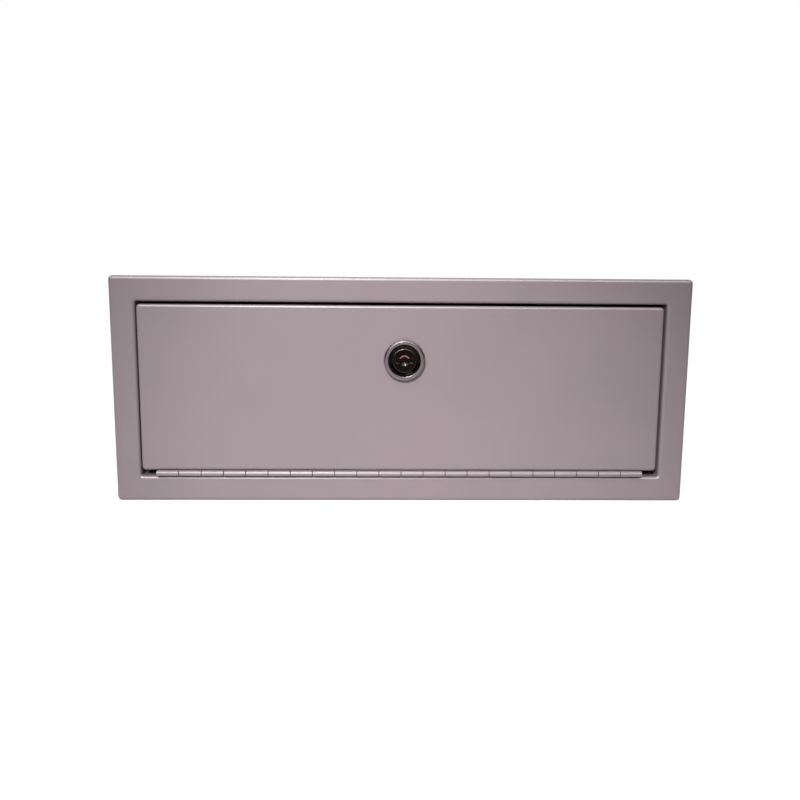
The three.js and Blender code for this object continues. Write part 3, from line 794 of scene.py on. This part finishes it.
def stop_bumper(word):
    low, high = place(f"stop_bumper_{word}")
    radius, depth = (high.x - low.x) / 2, high.y - low.y
    bm = bmesh.new()
    profile = [(radius * out, depth * along) for out, along in BUMPER_PROFILE]
    turned(bm, profile, ((low.x + high.x) / 2, low.y, (low.z + high.z) / 2), BACK, 32)
    finish_piece(bm, f"stop_bumper_{word}", rubber)


for side, word in ((-1, "left"), (1, "right")):
    tray_guide(word, side)
    door_stop(word, side)
    stop_bumper(word)

# %% [markdown]
# ## The drop front
# The front is a shallow pan: a flat face, four walls folded back, and a second fold that stiffens the
# rim behind. The lock's hole is round with two flats, so the lock cannot turn in it. The face is
# bridged to the hole point by point, which keeps its faces large and its shading flat.

# %% Drop front
door_low, door_high = place("door_pan")
DOOR_BEND, DOOR_CORNER, DOOR_LIP = 1.6, 2.0, 8.0
DOOR_CUT_EDGE = 0.12
BARREL_HOLE, FLAT_HOLE = 9.7, 8.2


def door_pan():
    width, height = door_high.x - door_low.x, door_high.z - door_low.z
    middle = Vector(((door_low.x + door_high.x) / 2, face_y, (door_low.z + door_high.z) / 2))
    bm = bmesh.new()
    rim = list(plate(bm, width, height, DOOR_CORNER, FACING_FRONT, middle).edges)
    back_rim = pull(bm, rim, BACK * (door_high.y - face_y))
    lip = pull(bm, back_rim, Vector((0, 0, 0)))
    shrink = ((width - 2 * DOOR_LIP) / width, 1, (height - 2 * DOOR_LIP) / height)
    bmesh.ops.scale(bm, vec=shrink, verts=verts_of(lip), space=Matrix.Translation(-middle))
    bend(bm, rim + back_rim, DOOR_BEND)
    face = open_up(bm, widest_face(bm, FRONT))
    hole = ring(bm, BARREL_HOLE, FACING_FRONT, (lock_x, face_y, lock_z), len(face))
    for vert in verts_of(hole):
        vert.co.z = min(max(vert.co.z, lock_z - FLAT_HOLE), lock_z + FLAT_HOLE)
    bmesh.ops.bridge_loops(bm, edges=face + hole)
    return finish_piece(bm, "door_pan", coat, FRONT, SHEET, DOOR_CUT_EDGE)


door_pan()

# %% [markdown]
# ## The piano hinge
# A piano hinge is two long strips of thin sheet. Every second knuckle is rolled from one strip and
# the rest from the other, round a single pin. Each leaf starts as a row of edges at its back, which
# is pulled forward; only the stretches that own a knuckle go on, and spinning them about the pin
# rolls the knuckle. Solidify then gives the rolled sheet its thickness.

# %% Piano hinge
leaf_low = place("hinge_leaf_case")[0]
pin_low, pin_high = place("hinge_pin")
pin_y, pin_z = (pin_low.y + pin_high.y) / 2, (pin_low.z + pin_high.z) / 2
hinge_left, hinge_right = leaf_low.x, place("hinge_leaf_door")[1].x
knuckle_radius = pin_z - leaf_low.z
KNUCKLE, KNUCKLES, KNUCKLE_GAP = 12.58, 22, 0.4
LEAF_SHEET, LEAF_CUT_EDGE = 0.75, 0.12
ROLL, ROLL_STEPS = math.radians(296), 22
PIN_END = [(0, 0), (0.6, 0.08), (0.9, 0.3), (1, 0.7)]
print("hinge", round(hinge_left, 2), "to", round(hinge_right, 2), "radius", round(knuckle_radius, 2))


def own_knuckles(first):
    """Both ends of every second knuckle, with half a gap off where a neighbour stands."""
    ends = []
    for number in range(first, KNUCKLES, 2):
        left, right = hinge_left + number * KNUCKLE, hinge_left + (number + 1) * KNUCKLE
        if number > 0:
            left += KNUCKLE_GAP / 2
        if number < KNUCKLES - 1:
            right -= KNUCKLE_GAP / 2
        ends.append((left, right))
    return ends


def hinge_leaf(node, side, first):
    """side is -1 for the strip under the pin and 1 for the strip over it."""
    back_y = place(node)[1].y
    strip_z = pin_z + side * knuckle_radius
    own = own_knuckles(first)
    stations = sorted({hinge_left, hinge_right, *(x for pair in own for x in pair)})
    bm = bmesh.new()
    back = polyline(bm, [(x, back_y, strip_z) for x in stations])
    front = pull(bm, back, FRONT * (back_y - pin_y - knuckle_radius - KNUCKLE_GAP))
    tabs = [
        edge for edge in front
        if any(left - NEAR < middle_of(edge).x < right for left, right in own)
    ]
    root = pull(bm, tabs, FRONT * (knuckle_radius + KNUCKLE_GAP))
    bmesh.ops.spin(
        bm, geom=verts_of(root) + root, cent=(0, pin_y, pin_z), axis=RIGHT,
        angle=ROLL * side, steps=ROLL_STEPS,
    )
    return finish_piece(bm, node, coat, UP * side, LEAF_SHEET, LEAF_CUT_EDGE)


def hinge_pin():
    radius, length = (pin_high.z - pin_low.z) / 2, pin_high.x - pin_low.x
    bm = bmesh.new()
    left_end = [(radius * share, along) for share, along in PIN_END]
    right_end = [(r, length - along) for r, along in reversed(left_end)]
    turned(bm, left_end + right_end, (pin_low.x, pin_y, pin_z), RIGHT, 24)
    # The pin's dark finish is painted shade for the gaps between the knuckles.
    return finish_piece(bm, "hinge_pin", pin_painted_dark)


hinge_leaf("hinge_leaf_case", -1, 0)
hinge_leaf("hinge_leaf_door", 1, 1)
hinge_pin()

# %% [markdown]
# ## The lock's body and bright ring
# The lock's parts come off a lathe, so each is a profile spun round the lock's axis. The ring is a
# flat face with a bevelled rim. The body has a raised collar round the key plug, a flange under the
# ring, and a threaded barrel. The thread is drawn as a zigzag in the profile, and the two flats are
# made the way a mill makes them: every point beyond the flat is brought down to it.

# %% Lock body and ring
lock_middle = Vector((lock_x, 0, lock_z))
LOCK_SIDES = 96
RING_PROFILE = [
    (9.1, -1.1), (9.1, -2.85), (9.16, -3.02), (9.32, -3.1), (10.5, -3.1), (10.68, -3.03),
    (11.38, -2.33), (11.47, -2.15), (11.5, -1.95), (11.5, -1.1),
]
BARREL_RADIUS, BARREL_END, BARREL_FLAT = 9.5, 20.0, 8.0
COLLAR_AND_FLANGE = [
    (6.7, -2.42), (6.78, -2.5), (7.0, -2.5), (7.85, -2.76), (8.0, -2.8), (8.14, -2.74),
    (8.2, -2.6), (8.2, -1.0), (11.0, -1.0), (11.2, -0.85), (11.2, -0.1), (BARREL_RADIUS, -0.1),
]
BARREL_TIP = [(BARREL_RADIUS, 19.2), (9.0, BARREL_END), (6.7, BARREL_END)]
THREAD_START, THREAD_PITCH, THREAD_DEPTH, THREAD_TURNS = 1.2, 1.0, 0.4, 18
FLATS_START = -0.05


def behind_face(y):
    """A place along the lock's axis, measured back from the front face."""
    return face_y + y


def lock_profile(points):
    return [(radius, behind_face(y)) for radius, y in points]


def thread_profile(first, second, start, pitch, turns):
    """A zigzag between two radii, which spins into the ridges of a thread."""
    points = []
    for turn in range(turns):
        along = start + turn * pitch
        points += [(first, along), (second, along + pitch / 2)]
    return points


def lock_bezel():
    bm = bmesh.new()
    turned(bm, lock_profile(RING_PROFILE), lock_middle, BACK, LOCK_SIDES)
    return finish_piece(bm, "lock_bezel", steel_ring)


def lock_body():
    thread = thread_profile(
        BARREL_RADIUS, BARREL_RADIUS - THREAD_DEPTH, THREAD_START, THREAD_PITCH, THREAD_TURNS,
    )
    bm = bmesh.new()
    profile = BARREL_TIP[-1:] + COLLAR_AND_FLANGE + thread + BARREL_TIP[:-1]
    turned(bm, lock_profile(profile), lock_middle, BACK, LOCK_SIDES)
    for vert in bm.verts:
        if vert.co.y > behind_face(FLATS_START):
            rise = min(max(vert.co.z - lock_z, -BARREL_FLAT), BARREL_FLAT)
            vert.co.z = lock_z + rise
    return finish_piece(bm, "lock_body", nickel)


lock_bezel()
lock_body()

# %% [markdown]
# ## The key plug
# The plug is the part that turns. Its keyway is a slot with a conical lead-in, so a key finds its way
# in the dark. The lead-in's cone meets each wall of the slot in a curve: along every ruling of the
# cone, the curve is where the ruling comes down to the slot's height. The arc is spun first, and its
# copy is then brought in along those rulings. The upper half of the cone and the plug's broken edges
# take the brass finish. On the cone this is partly key wear and partly a painted warm reflection, and
# on the edges it is partly a painted highlight. Behind, the plug ends in a square tail with a
# tapped hole for the cam's screw.

# %% Key plug
SLOT_HALF_WIDTH, SLOT_HALF_HEIGHT, SLOT_DEPTH = 4.95, 1.2, 9.0
LEAD_RADIUS, LEAD_DEPTH, LEAD_STEPS = 3.0, 1.2, 24
PLUG_RADIUS, PLUG_FACE, PLUG_CHAMFER, PLUG_SIDES = 6.6, -2.5, 0.15, 72
TAIL_HALF, TAIL_CORNER = 3.0, 0.3
TAPPED_RADIUS, TAPPED_DEPTH, TAPPED_SIDES = 2.4, 9, 24
FLUSH = 0.003
BRASS_AND_SHEEN_SLOT = 1
plug_front = behind_face(PLUG_FACE)


def half_lead_in(bm, side):
    """The cone above (1) or below (-1) the slot, and the slot's rim on that side."""
    slope = (LEAD_RADIUS - SLOT_HALF_HEIGHT) / LEAD_DEPTH
    reach = math.asin(SLOT_HALF_HEIGHT / LEAD_RADIUS)
    slot_z = lock_z + side * SLOT_HALF_HEIGHT
    start = bm.verts.new((lock_x + LEAD_RADIUS * math.cos(reach), plug_front, slot_z))
    bmesh.ops.spin(
        bm, geom=[start], cent=lock_middle, axis=BACK,
        angle=-side * (math.pi - 2 * reach), steps=LEAD_STEPS,
    )
    arc = [
        edge for edge in bm.edges
        if edge.is_wire and (edge.verts[0].co.z - lock_z) * side > SLOT_HALF_HEIGHT / 2
    ]
    for vert in verts_of(pull(bm, arc, Vector((0, 0, 0)))):
        out = vert.co - lock_middle
        angle = math.atan2(abs(out.z), out.x)
        radius = SLOT_HALF_HEIGHT / math.sin(angle)
        vert.co.x = lock_x + radius * math.cos(angle)
        vert.co.y = plug_front + max(LEAD_RADIUS - radius, 0) / slope
        vert.co.z = slot_z
    for end in (-1, 1):
        near = min(verts_of(arc), key=lambda vert: (vert.co.x - lock_x) * -end)
        corner = bm.verts.new((lock_x + end * SLOT_HALF_WIDTH, plug_front, slot_z))
        bm.edges.new((near, corner))


def slot_ends(bm):
    """Closes the slot's rim with an upright edge at each end."""
    edges = []
    for end in (-1, 1):
        end_x = lock_x + end * SLOT_HALF_WIDTH
        corners = [vert for vert in bm.verts if abs(vert.co.x - end_x) < NEAR]
        edges.append(bm.edges.new(sorted(corners, key=lambda vert: vert.co.z)))
    return edges


def square_tail(bm, shoulder, tail_end):
    """Fills the plug's back round a square, and pulls the square out to a tapped tail."""
    square = open_up(bm, plate(
        bm, 2 * TAIL_HALF, 2 * TAIL_HALF, TAIL_CORNER, FACING_FRONT,
        (lock_x, behind_face(BARREL_END), lock_z), 2,
    ))
    fill_between(bm, shoulder + square)
    tail = pull(bm, square, BACK * (tail_end - behind_face(BARREL_END)))
    tapped = ring(bm, TAPPED_RADIUS, FACING_FRONT, (lock_x, tail_end, lock_z), TAPPED_SIDES)
    fill_between(bm, tail + tapped)
    bmesh.ops.edgeloop_fill(bm, edges=pull(bm, tapped, FRONT * TAPPED_DEPTH))


def lock_plug():
    bm = bmesh.new()
    for side in (1, -1):
        half_lead_in(bm, side)
    bmesh.ops.remove_doubles(bm, verts=bm.verts, dist=MERGE)
    rim = [
        edge for edge in bm.edges
        if len(edge.link_faces) < 2 and abs(middle_of(edge).y - plug_front) < FLUSH
    ]
    ends = slot_ends(bm)
    # Only the upper half of the lead-in takes the brass: partly wear, partly a painted warm reflection.
    for face in bm.faces:
        if face.calc_center_median().z > lock_z:
            face.material_index = BRASS_AND_SHEEN_SLOT
    face_radius = PLUG_RADIUS - PLUG_CHAMFER
    outline = ring(bm, face_radius, FACING_FRONT, (lock_x, plug_front, lock_z), PLUG_SIDES)
    fill_between(bm, outline + rim + ends)
    walls = [edge for edge in bm.edges if edge.is_boundary and edge not in outline]
    floor = pull(bm, walls, BACK * SLOT_DEPTH)
    for vert in verts_of(floor):
        vert.co.y = plug_front + SLOT_DEPTH
    bmesh.ops.edgeloop_fill(bm, edges=floor)
    chamfer = pull(bm, outline, BACK * PLUG_CHAMFER)
    bmesh.ops.scale(
        bm, vec=(PLUG_RADIUS / face_radius, 1, PLUG_RADIUS / face_radius),
        verts=verts_of(chamfer), space=Matrix.Translation(-lock_middle),
    )
    shoulder = pull(bm, chamfer, BACK * (BARREL_END - PLUG_FACE - PLUG_CHAMFER))
    square_tail(bm, shoulder, place("lock_plug")[1].y)
    # The plug's broken edges take the brass finish's dull brown: partly wear, partly painted highlight.
    return finish_piece(
        bm, "lock_plug", [nickel, brass_and_painted_sheen], edge=0.12, edge_finish=BRASS_AND_SHEEN_SLOT,
    )


SHUTTER_CORNER, SHUTTER_EDGE = 0.4, 0.15


def key_shutter():
    """The spring flap that keeps dust out of the keyway, finished in black nickel as painted shade for
    the keyway's depth.
    """
    low, high = place("key_shutter")
    bm = bmesh.new()
    middle = (lock_x, low.y, lock_z)
    face = plate(bm, high.x - low.x, high.z - low.z, SHUTTER_CORNER, FACING_FRONT, middle, 4)
    thicken(bm, [face], BACK * (high.y - low.y))
    # Black nickel here is painted shade: it keeps the keyway dark deep inside.
    return finish_piece(bm, "key_shutter", nickel, edge=SHUTTER_EDGE)


lock_plug()
key_shutter()

# %% [markdown]
# ## Hardware behind the front
# A thin washer and a big thin nut clamp the lock. On the square tail sit a stop washer, whose bitten
# rim stops the key after a quarter turn, the cam that bolts the front, and a screw with its washer.
# A nut is turned before it is milled: its profile is spun with chamfered corners, and each of the
# six flats is a cut through the round, which leaves the curved edge that real nuts have.

# %% Nut, washers and screw
ON_THE_CUT = 0.0005
HARDWARE_EDGE = 0.1


def cut_flats(bm, half_across, y_low, y_high):
    """Cuts six flats on a turned blank between two depths and closes each cut."""
    for number in range(6):
        angle = math.radians(60 * number)
        out = Vector((math.cos(angle), 0, math.sin(angle)))
        geom = [
            item for item in [*bm.verts, *bm.edges, *bm.faces]
            if all(y_low - NEAR < vert.co.y < y_high + NEAR
                   for vert in ([item] if isinstance(item, bmesh.types.BMVert) else item.verts))
        ]
        cut = bmesh.ops.bisect_plane(
            bm, geom=geom, dist=ON_THE_CUT, plane_co=lock_middle + out * half_across,
            plane_no=out, clear_outer=True,
        )["geom_cut"]
        cut_edges = [item for item in cut if isinstance(item, bmesh.types.BMEdge)]
        bmesh.ops.edgeloop_fill(bm, edges=cut_edges)


def hexagon_halves(low, high):
    """Half of a hexagon's width over its corners and over its flats."""
    widths = (high.x - low.x, high.z - low.z)
    return max(widths) / 2, min(widths) / 2


NUT_CHAMFER_OUT, NUT_CHAMFER_ALONG = 0.3, 0.9


def lock_nut():
    low, high = place("lock_nut")
    corner, flat = hexagon_halves(low, high)
    bm = bmesh.new()
    turned(bm, [
        (BARREL_HOLE, low.y), (flat - NUT_CHAMFER_OUT, low.y), (corner, low.y + NUT_CHAMFER_ALONG),
        (corner, high.y - NUT_CHAMFER_ALONG), (flat - NUT_CHAMFER_OUT, high.y), (BARREL_HOLE, high.y),
    ], lock_middle, BACK, 72)
    cut_flats(bm, flat, low.y, high.y)
    return finish_piece(bm, "lock_nut", zinc, edge=HARDWARE_EDGE)


def washer(node, hole, burr):
    low, high = place(node)
    radius = (high.x - low.x) / 2
    bm = bmesh.new()
    turned(bm, [
        (hole, low.y), (radius - burr, low.y), (radius, low.y + burr), (radius, high.y - burr),
        (radius - burr, high.y), (hole, high.y),
    ], lock_middle, BACK, 64)
    return finish_piece(bm, node, zinc)


HEAD_HEIGHT = 3.5
SCREW_TIP, SCREW_ROOT, SCREW_CREST = 1.7, 1.9, 2.3
SCREW_LEAD, SCREW_PITCH, SCREW_TURNS = 0.6, 0.8, 10


def cam_screw():
    low, high = place("cam_screw")
    head = high.y - HEAD_HEIGHT
    corner, flat = hexagon_halves(low, high)
    thread = thread_profile(
        SCREW_ROOT, SCREW_CREST, low.y + SCREW_LEAD, SCREW_PITCH, SCREW_TURNS,
    )
    under_head = [(SCREW_CREST, head), (flat - 0.1, head), (corner, head + 0.25)]
    over_head = [(corner, high.y - 0.6), (flat - 0.2, high.y), (0, high.y)]
    bm = bmesh.new()
    profile = [(0, low.y), (SCREW_TIP, low.y)] + thread + under_head + over_head
    turned(bm, profile, lock_middle, BACK, 48, joined=False)
    cut_flats(bm, flat, head, high.y)
    return finish_piece(bm, "cam_screw", zinc, edge=HARDWARE_EDGE)


lock_nut()
washer("lock_washer", hole=BARREL_HOLE, burr=0.15)
washer("cam_washer", hole=2.5, burr=0.1)
cam_screw()

# %% [markdown]
# ## Stamped plates: the stop washer and the cam
# Both are stamped from strip, so each starts as one flat face. Straight cuts across the face divide
# it along the sides of the square hole, the middle is thrown away as the punch does, and what is
# left is given its thickness.

# %% Stop washer and cam
TAIL_HOLE = 3.15
BITE_START, BITE_END = 4.2, 9
CAM_CORNER = 7.5


def score(bm, x=None, z=None):
    """Cuts every face along an upright or a level line."""
    point = Vector((x if x is not None else 0, 0, z if z is not None else 0))
    bmesh.ops.bisect_plane(
        bm, geom=[*bm.verts, *bm.edges, *bm.faces], dist=ON_THE_CUT, plane_co=point,
        plane_no=RIGHT if x is not None else UP,
    )


def punch(bm, left, right, bottom, top):
    """Throws away the faces whose middle lies in a rectangle about the lock's axis."""
    waste = [
        face for face in bm.faces
        if left < face.calc_center_median().x - lock_x < right
        and bottom < face.calc_center_median().z - lock_z < top
    ]
    bmesh.ops.delete(bm, geom=waste, context="FACES")


def square_hole(bm):
    for side in (-1, 1):
        score(bm, x=lock_x + side * TAIL_HOLE)
        score(bm, z=lock_z + side * TAIL_HOLE)
    punch(bm, -TAIL_HOLE, TAIL_HOLE, -TAIL_HOLE, TAIL_HOLE)


def stop_washer():
    low, high = place("stop_washer")
    bm = bmesh.new()
    rim = ring(bm, (high.x - low.x) / 2, FACING_FRONT, (lock_x, low.y, lock_z), 64)
    bmesh.ops.edgeloop_fill(bm, edges=rim)
    square_hole(bm)
    score(bm, x=lock_x + BITE_START)
    score(bm, z=lock_z + BITE_START)
    punch(bm, BITE_START, BITE_END, BITE_START, BITE_END)
    thicken(bm, list(bm.faces), BACK * (high.y - low.y))
    return finish_piece(bm, "stop_washer", zinc, edge=0.12)


def lock_cam():
    low, high = place("lock_cam")
    bm = bmesh.new()
    middle = ((low.x + high.x) / 2, low.y, (low.z + high.z) / 2)
    plate(bm, high.x - low.x, high.z - low.z, CAM_CORNER, FACING_FRONT, middle, 12)
    square_hole(bm)
    thicken(bm, list(bm.faces), BACK * (high.y - low.y))
    return finish_piece(bm, "lock_cam", zinc, edge=0.3)


stop_washer()
lock_cam()

# %% [markdown]
# ## The cash tray
# The tray is one thin moulding. Its outline is pulled up from the floor, the front wall's top edge is
# cut into short lengths, and those are moved down into a rounded finger notch. A narrow rim is pulled
# out all round, and Solidify gives the moulding its wall inwards from there.

# %% Cash tray
tray_low, tray_high = place("cash_tray")
MOULD_EDGE = 0.5
TRAY_WALL, TRAY_CORNER, TRAY_BEND, RIM_REACH = 2.2, 5, 3, 2.4
NOTCH_HALF, NOTCH_DEEP, NOTCH_ROUND, NOTCH_STEPS = 28.0, 16.0, 12.0, 8


def notch_points(top):
    """The finger notch from left to right, as (x, z)."""
    bottom = top - NOTCH_DEEP
    left = [(-NOTCH_HALF, top)]
    for step in range(NOTCH_STEPS + 1):
        angle = math.radians(180 + 90 * step / NOTCH_STEPS)
        left.append((
            NOTCH_ROUND - NOTCH_HALF + NOTCH_ROUND * math.cos(angle),
            bottom + NOTCH_ROUND + NOTCH_ROUND * math.sin(angle),
        ))
    return left + [(-x, z) for x, z in reversed(left)]


def cash_tray():
    width, depth = tray_high.x - tray_low.x, tray_high.y - tray_low.y
    middle = Vector((0, (tray_low.y + tray_high.y) / 2, tray_low.z))
    top = tray_high.z - TRAY_WALL
    bm = bmesh.new()
    foot = list(plate(bm, width, depth, TRAY_CORNER, LYING, middle).edges)
    rim = pull(bm, foot, UP * (top - tray_low.z))
    front_edge = min(rim, key=lambda edge: 2 * middle_of(edge).y - edge.calc_length())
    points = notch_points(top)
    bmesh.ops.subdivide_edges(bm, edges=[front_edge], cuts=len(points))
    front_top = [
        vert for vert in bm.verts
        if abs(vert.co.y - tray_low.y) < NEAR and abs(vert.co.z - top) < NEAR
    ]
    for vert, (x, z) in zip(sorted(front_top, key=lambda vert: vert.co.x)[1:-1], points):
        vert.co.x, vert.co.z = x, z
    bend(bm, foot, TRAY_BEND, 4)
    rim = [edge for edge in bm.edges if edge.is_boundary]
    flange = pull(bm, rim, Vector((0, 0, 0)))
    grow = ((width + 2 * RIM_REACH) / width, (depth + 2 * RIM_REACH) / depth, 1)
    bmesh.ops.scale(bm, vec=grow, verts=verts_of(flange), space=Matrix.Translation(-middle))
    return finish_piece(bm, "cash_tray", plastic, DOWN, TRAY_WALL, MOULD_EDGE)


cash_tray()

# %% [markdown]
# ## Coin cups
# The cup block drops into the front of the tray. Each cup has a deep curved front, so a finger can
# sweep the coins up and out. A cup is its own side view, drawn as one face and extruded to its width;
# its lid is taken off, its inside corners are rounded as a mould needs, and the block's top is filled
# in round the five rims.

# %% Coin cups
cups_low, cups_high = place("coin_cups")
CUPS, CUP_WALL, CUP_CORNER, BLOCK_CORNER = 5, 1.6, 3.5, 2.8
SCOOP, CUP_BACK = 26.0, 8.0
SQUARE_CORNER = 1.2


def scoop_section():
    """The side view of a cup as (y, z), from its front lip round to its back lip."""
    front, back = cups_low.y + CUP_WALL, cups_high.y - CUP_WALL
    floor, top = cups_low.z + CUP_WALL, cups_high.z
    points = [(front, top)]
    for centre, radius, start, steps in (
        ((front + SCOOP, floor + SCOOP), SCOOP, 180, 12),
        ((back - CUP_BACK, floor + CUP_BACK), CUP_BACK, 270, 8),
    ):
        for step in range(steps + 1):
            angle = math.radians(start + 90 * step / steps)
            points.append((
                centre[0] + radius * math.cos(angle), centre[1] + radius * math.sin(angle),
            ))
    return points + [(back, top)]


def coin_cups():
    width, depth = cups_high.x - cups_low.x, cups_high.y - cups_low.y
    top = cups_high.z
    cup_width = (width - (CUPS + 1) * CUP_WALL) / CUPS
    bm = bmesh.new()
    for cup in range(CUPS):
        left = cups_low.x + CUP_WALL + cup * (cup_width + CUP_WALL)
        section = bm.faces.new([bm.verts.new((left, y, z)) for y, z in scoop_section()])
        thicken(bm, [section], RIGHT * cup_width)
    bmesh.ops.recalc_face_normals(bm, faces=bm.faces)
    lids = [
        face for face in bm.faces
        if face.normal.z > 0.9 and face.calc_center_median().z > top - 0.1
    ]
    bmesh.ops.delete(bm, geom=lids, context="FACES_ONLY")
    corners = [
        edge for edge in bm.edges
        if not edge.is_boundary and edge.calc_face_angle() > SQUARE_CORNER
    ]
    bend(bm, corners, CUP_CORNER, 4)
    rims = [edge for edge in bm.edges if edge.is_boundary]
    middle = ((cups_low.x + cups_high.x) / 2, (cups_low.y + cups_high.y) / 2, top)
    outline = open_up(bm, plate(bm, width, depth, BLOCK_CORNER, LYING, middle))
    foot = pull(bm, outline, DOWN * (top - cups_low.z))
    fill_between(bm, outline + rims)
    bmesh.ops.edgeloop_fill(bm, edges=foot)
    return finish_piece(bm, "coin_cups", plastic, edge=MOULD_EDGE)


coin_cups()

# %% [markdown]
# ## Note bays
# Three thin dividers make four bays, and a steel rod through them carries four sprung arms that hold
# the notes down. A divider is a plate with round corners and a hole for the rod. An arm is its own
# side view: most of a circle round the rod, a straight strip down to the notes, and a short flat foot.

# %% Dividers, rod and arms
rod_low, rod_high = place("note_rod")
rod_y, rod_z = (rod_low.y + rod_high.y) / 2, (rod_low.z + rod_high.z) / 2
ROD_HOLE, ROD_HOLE_SIDES, ROD_CHAMFER = 1.62, 20, 0.4
DIVIDER_CORNER, DIVIDER_EDGE = 4, 0.3


def note_divider(node):
    low, high = place(node)
    bm = bmesh.new()
    middle = (low.x, (low.y + high.y) / 2, (low.z + high.z) / 2)
    size = (high.y - low.y, high.z - low.z)
    edges = open_up(bm, plate(bm, *size, DIVIDER_CORNER, FACING_RIGHT, middle))
    edges += ring(bm, ROD_HOLE, FACING_RIGHT, (low.x, rod_y, rod_z), ROD_HOLE_SIDES)
    fill_between(bm, edges)
    thicken(bm, list(bm.faces), RIGHT * (high.x - low.x))
    return finish_piece(bm, node, plastic, edge=DIVIDER_EDGE)


def note_rod():
    radius, length = (rod_high.z - rod_low.z) / 2, rod_high.x - rod_low.x
    bm = bmesh.new()
    end = [(0, 0), (radius - ROD_CHAMFER, 0), (radius, ROD_CHAMFER)]
    turned(
        bm, end + [(r, length - along) for r, along in reversed(end)],
        (rod_low.x, rod_y, rod_z), RIGHT, 24, joined=False,
    )
    return finish_piece(bm, "note_rod", zinc)


HUB, HUB_STEPS, ARM_THICK, ARM_EDGE = 4.2, 32, 2.4, 0.4
ARM_REACH, ARM_FOOT = 82.0, 14.0


def foot_points(heel_y, under):
    """The arm's foot as (y, z): back along its top to the tip, then under it to the heel."""
    tip, over = heel_y - ARM_FOOT, under + ARM_THICK
    return [
        (heel_y, under + 1.9 * ARM_THICK), (heel_y - 3, over), (tip + 1.4, over),
        (tip, under + 1.2), (tip + 1.4, under), (heel_y - 2, under), (heel_y + 1, under + 0.5),
    ]


def note_arm(node):
    low, high = place(node)
    heel = Vector((rod_y - ARM_REACH, low.z))
    away = heel + Vector((0, 1.5 * ARM_THICK)) - Vector((rod_y, rod_z))
    spread = math.asin(ARM_THICK / 2 / HUB)
    lean = math.atan2(away.y, away.x)
    outline = []
    for step in range(HUB_STEPS + 1):
        angle = lean + spread + (2 * math.pi - 2 * spread) * step / HUB_STEPS
        outline.append((rod_y + HUB * math.cos(angle), rod_z + HUB * math.sin(angle)))
    foot = foot_points(heel.x, low.z)
    starts_on_top = outline[0][1] > outline[-1][1]
    outline += foot[::-1] if starts_on_top else foot
    bm = bmesh.new()
    verts = [bm.verts.new((low.x, y, z)) for y, z in outline]
    edges = [bm.edges.new(pair) for pair in zip(verts, verts[1:] + verts[:1])]
    edges += ring(bm, ROD_HOLE, FACING_RIGHT, (low.x, rod_y, rod_z), ROD_HOLE_SIDES)
    fill_between(bm, edges)
    thicken(bm, list(bm.faces), RIGHT * (high.x - low.x))
    return finish_piece(bm, node, plastic, edge=ARM_EDGE)


note_rod()
for number in range(1, 4):
    note_divider(f"note_divider_{number}")
for number in range(1, 5):
    note_arm(f"note_arm_{number}")
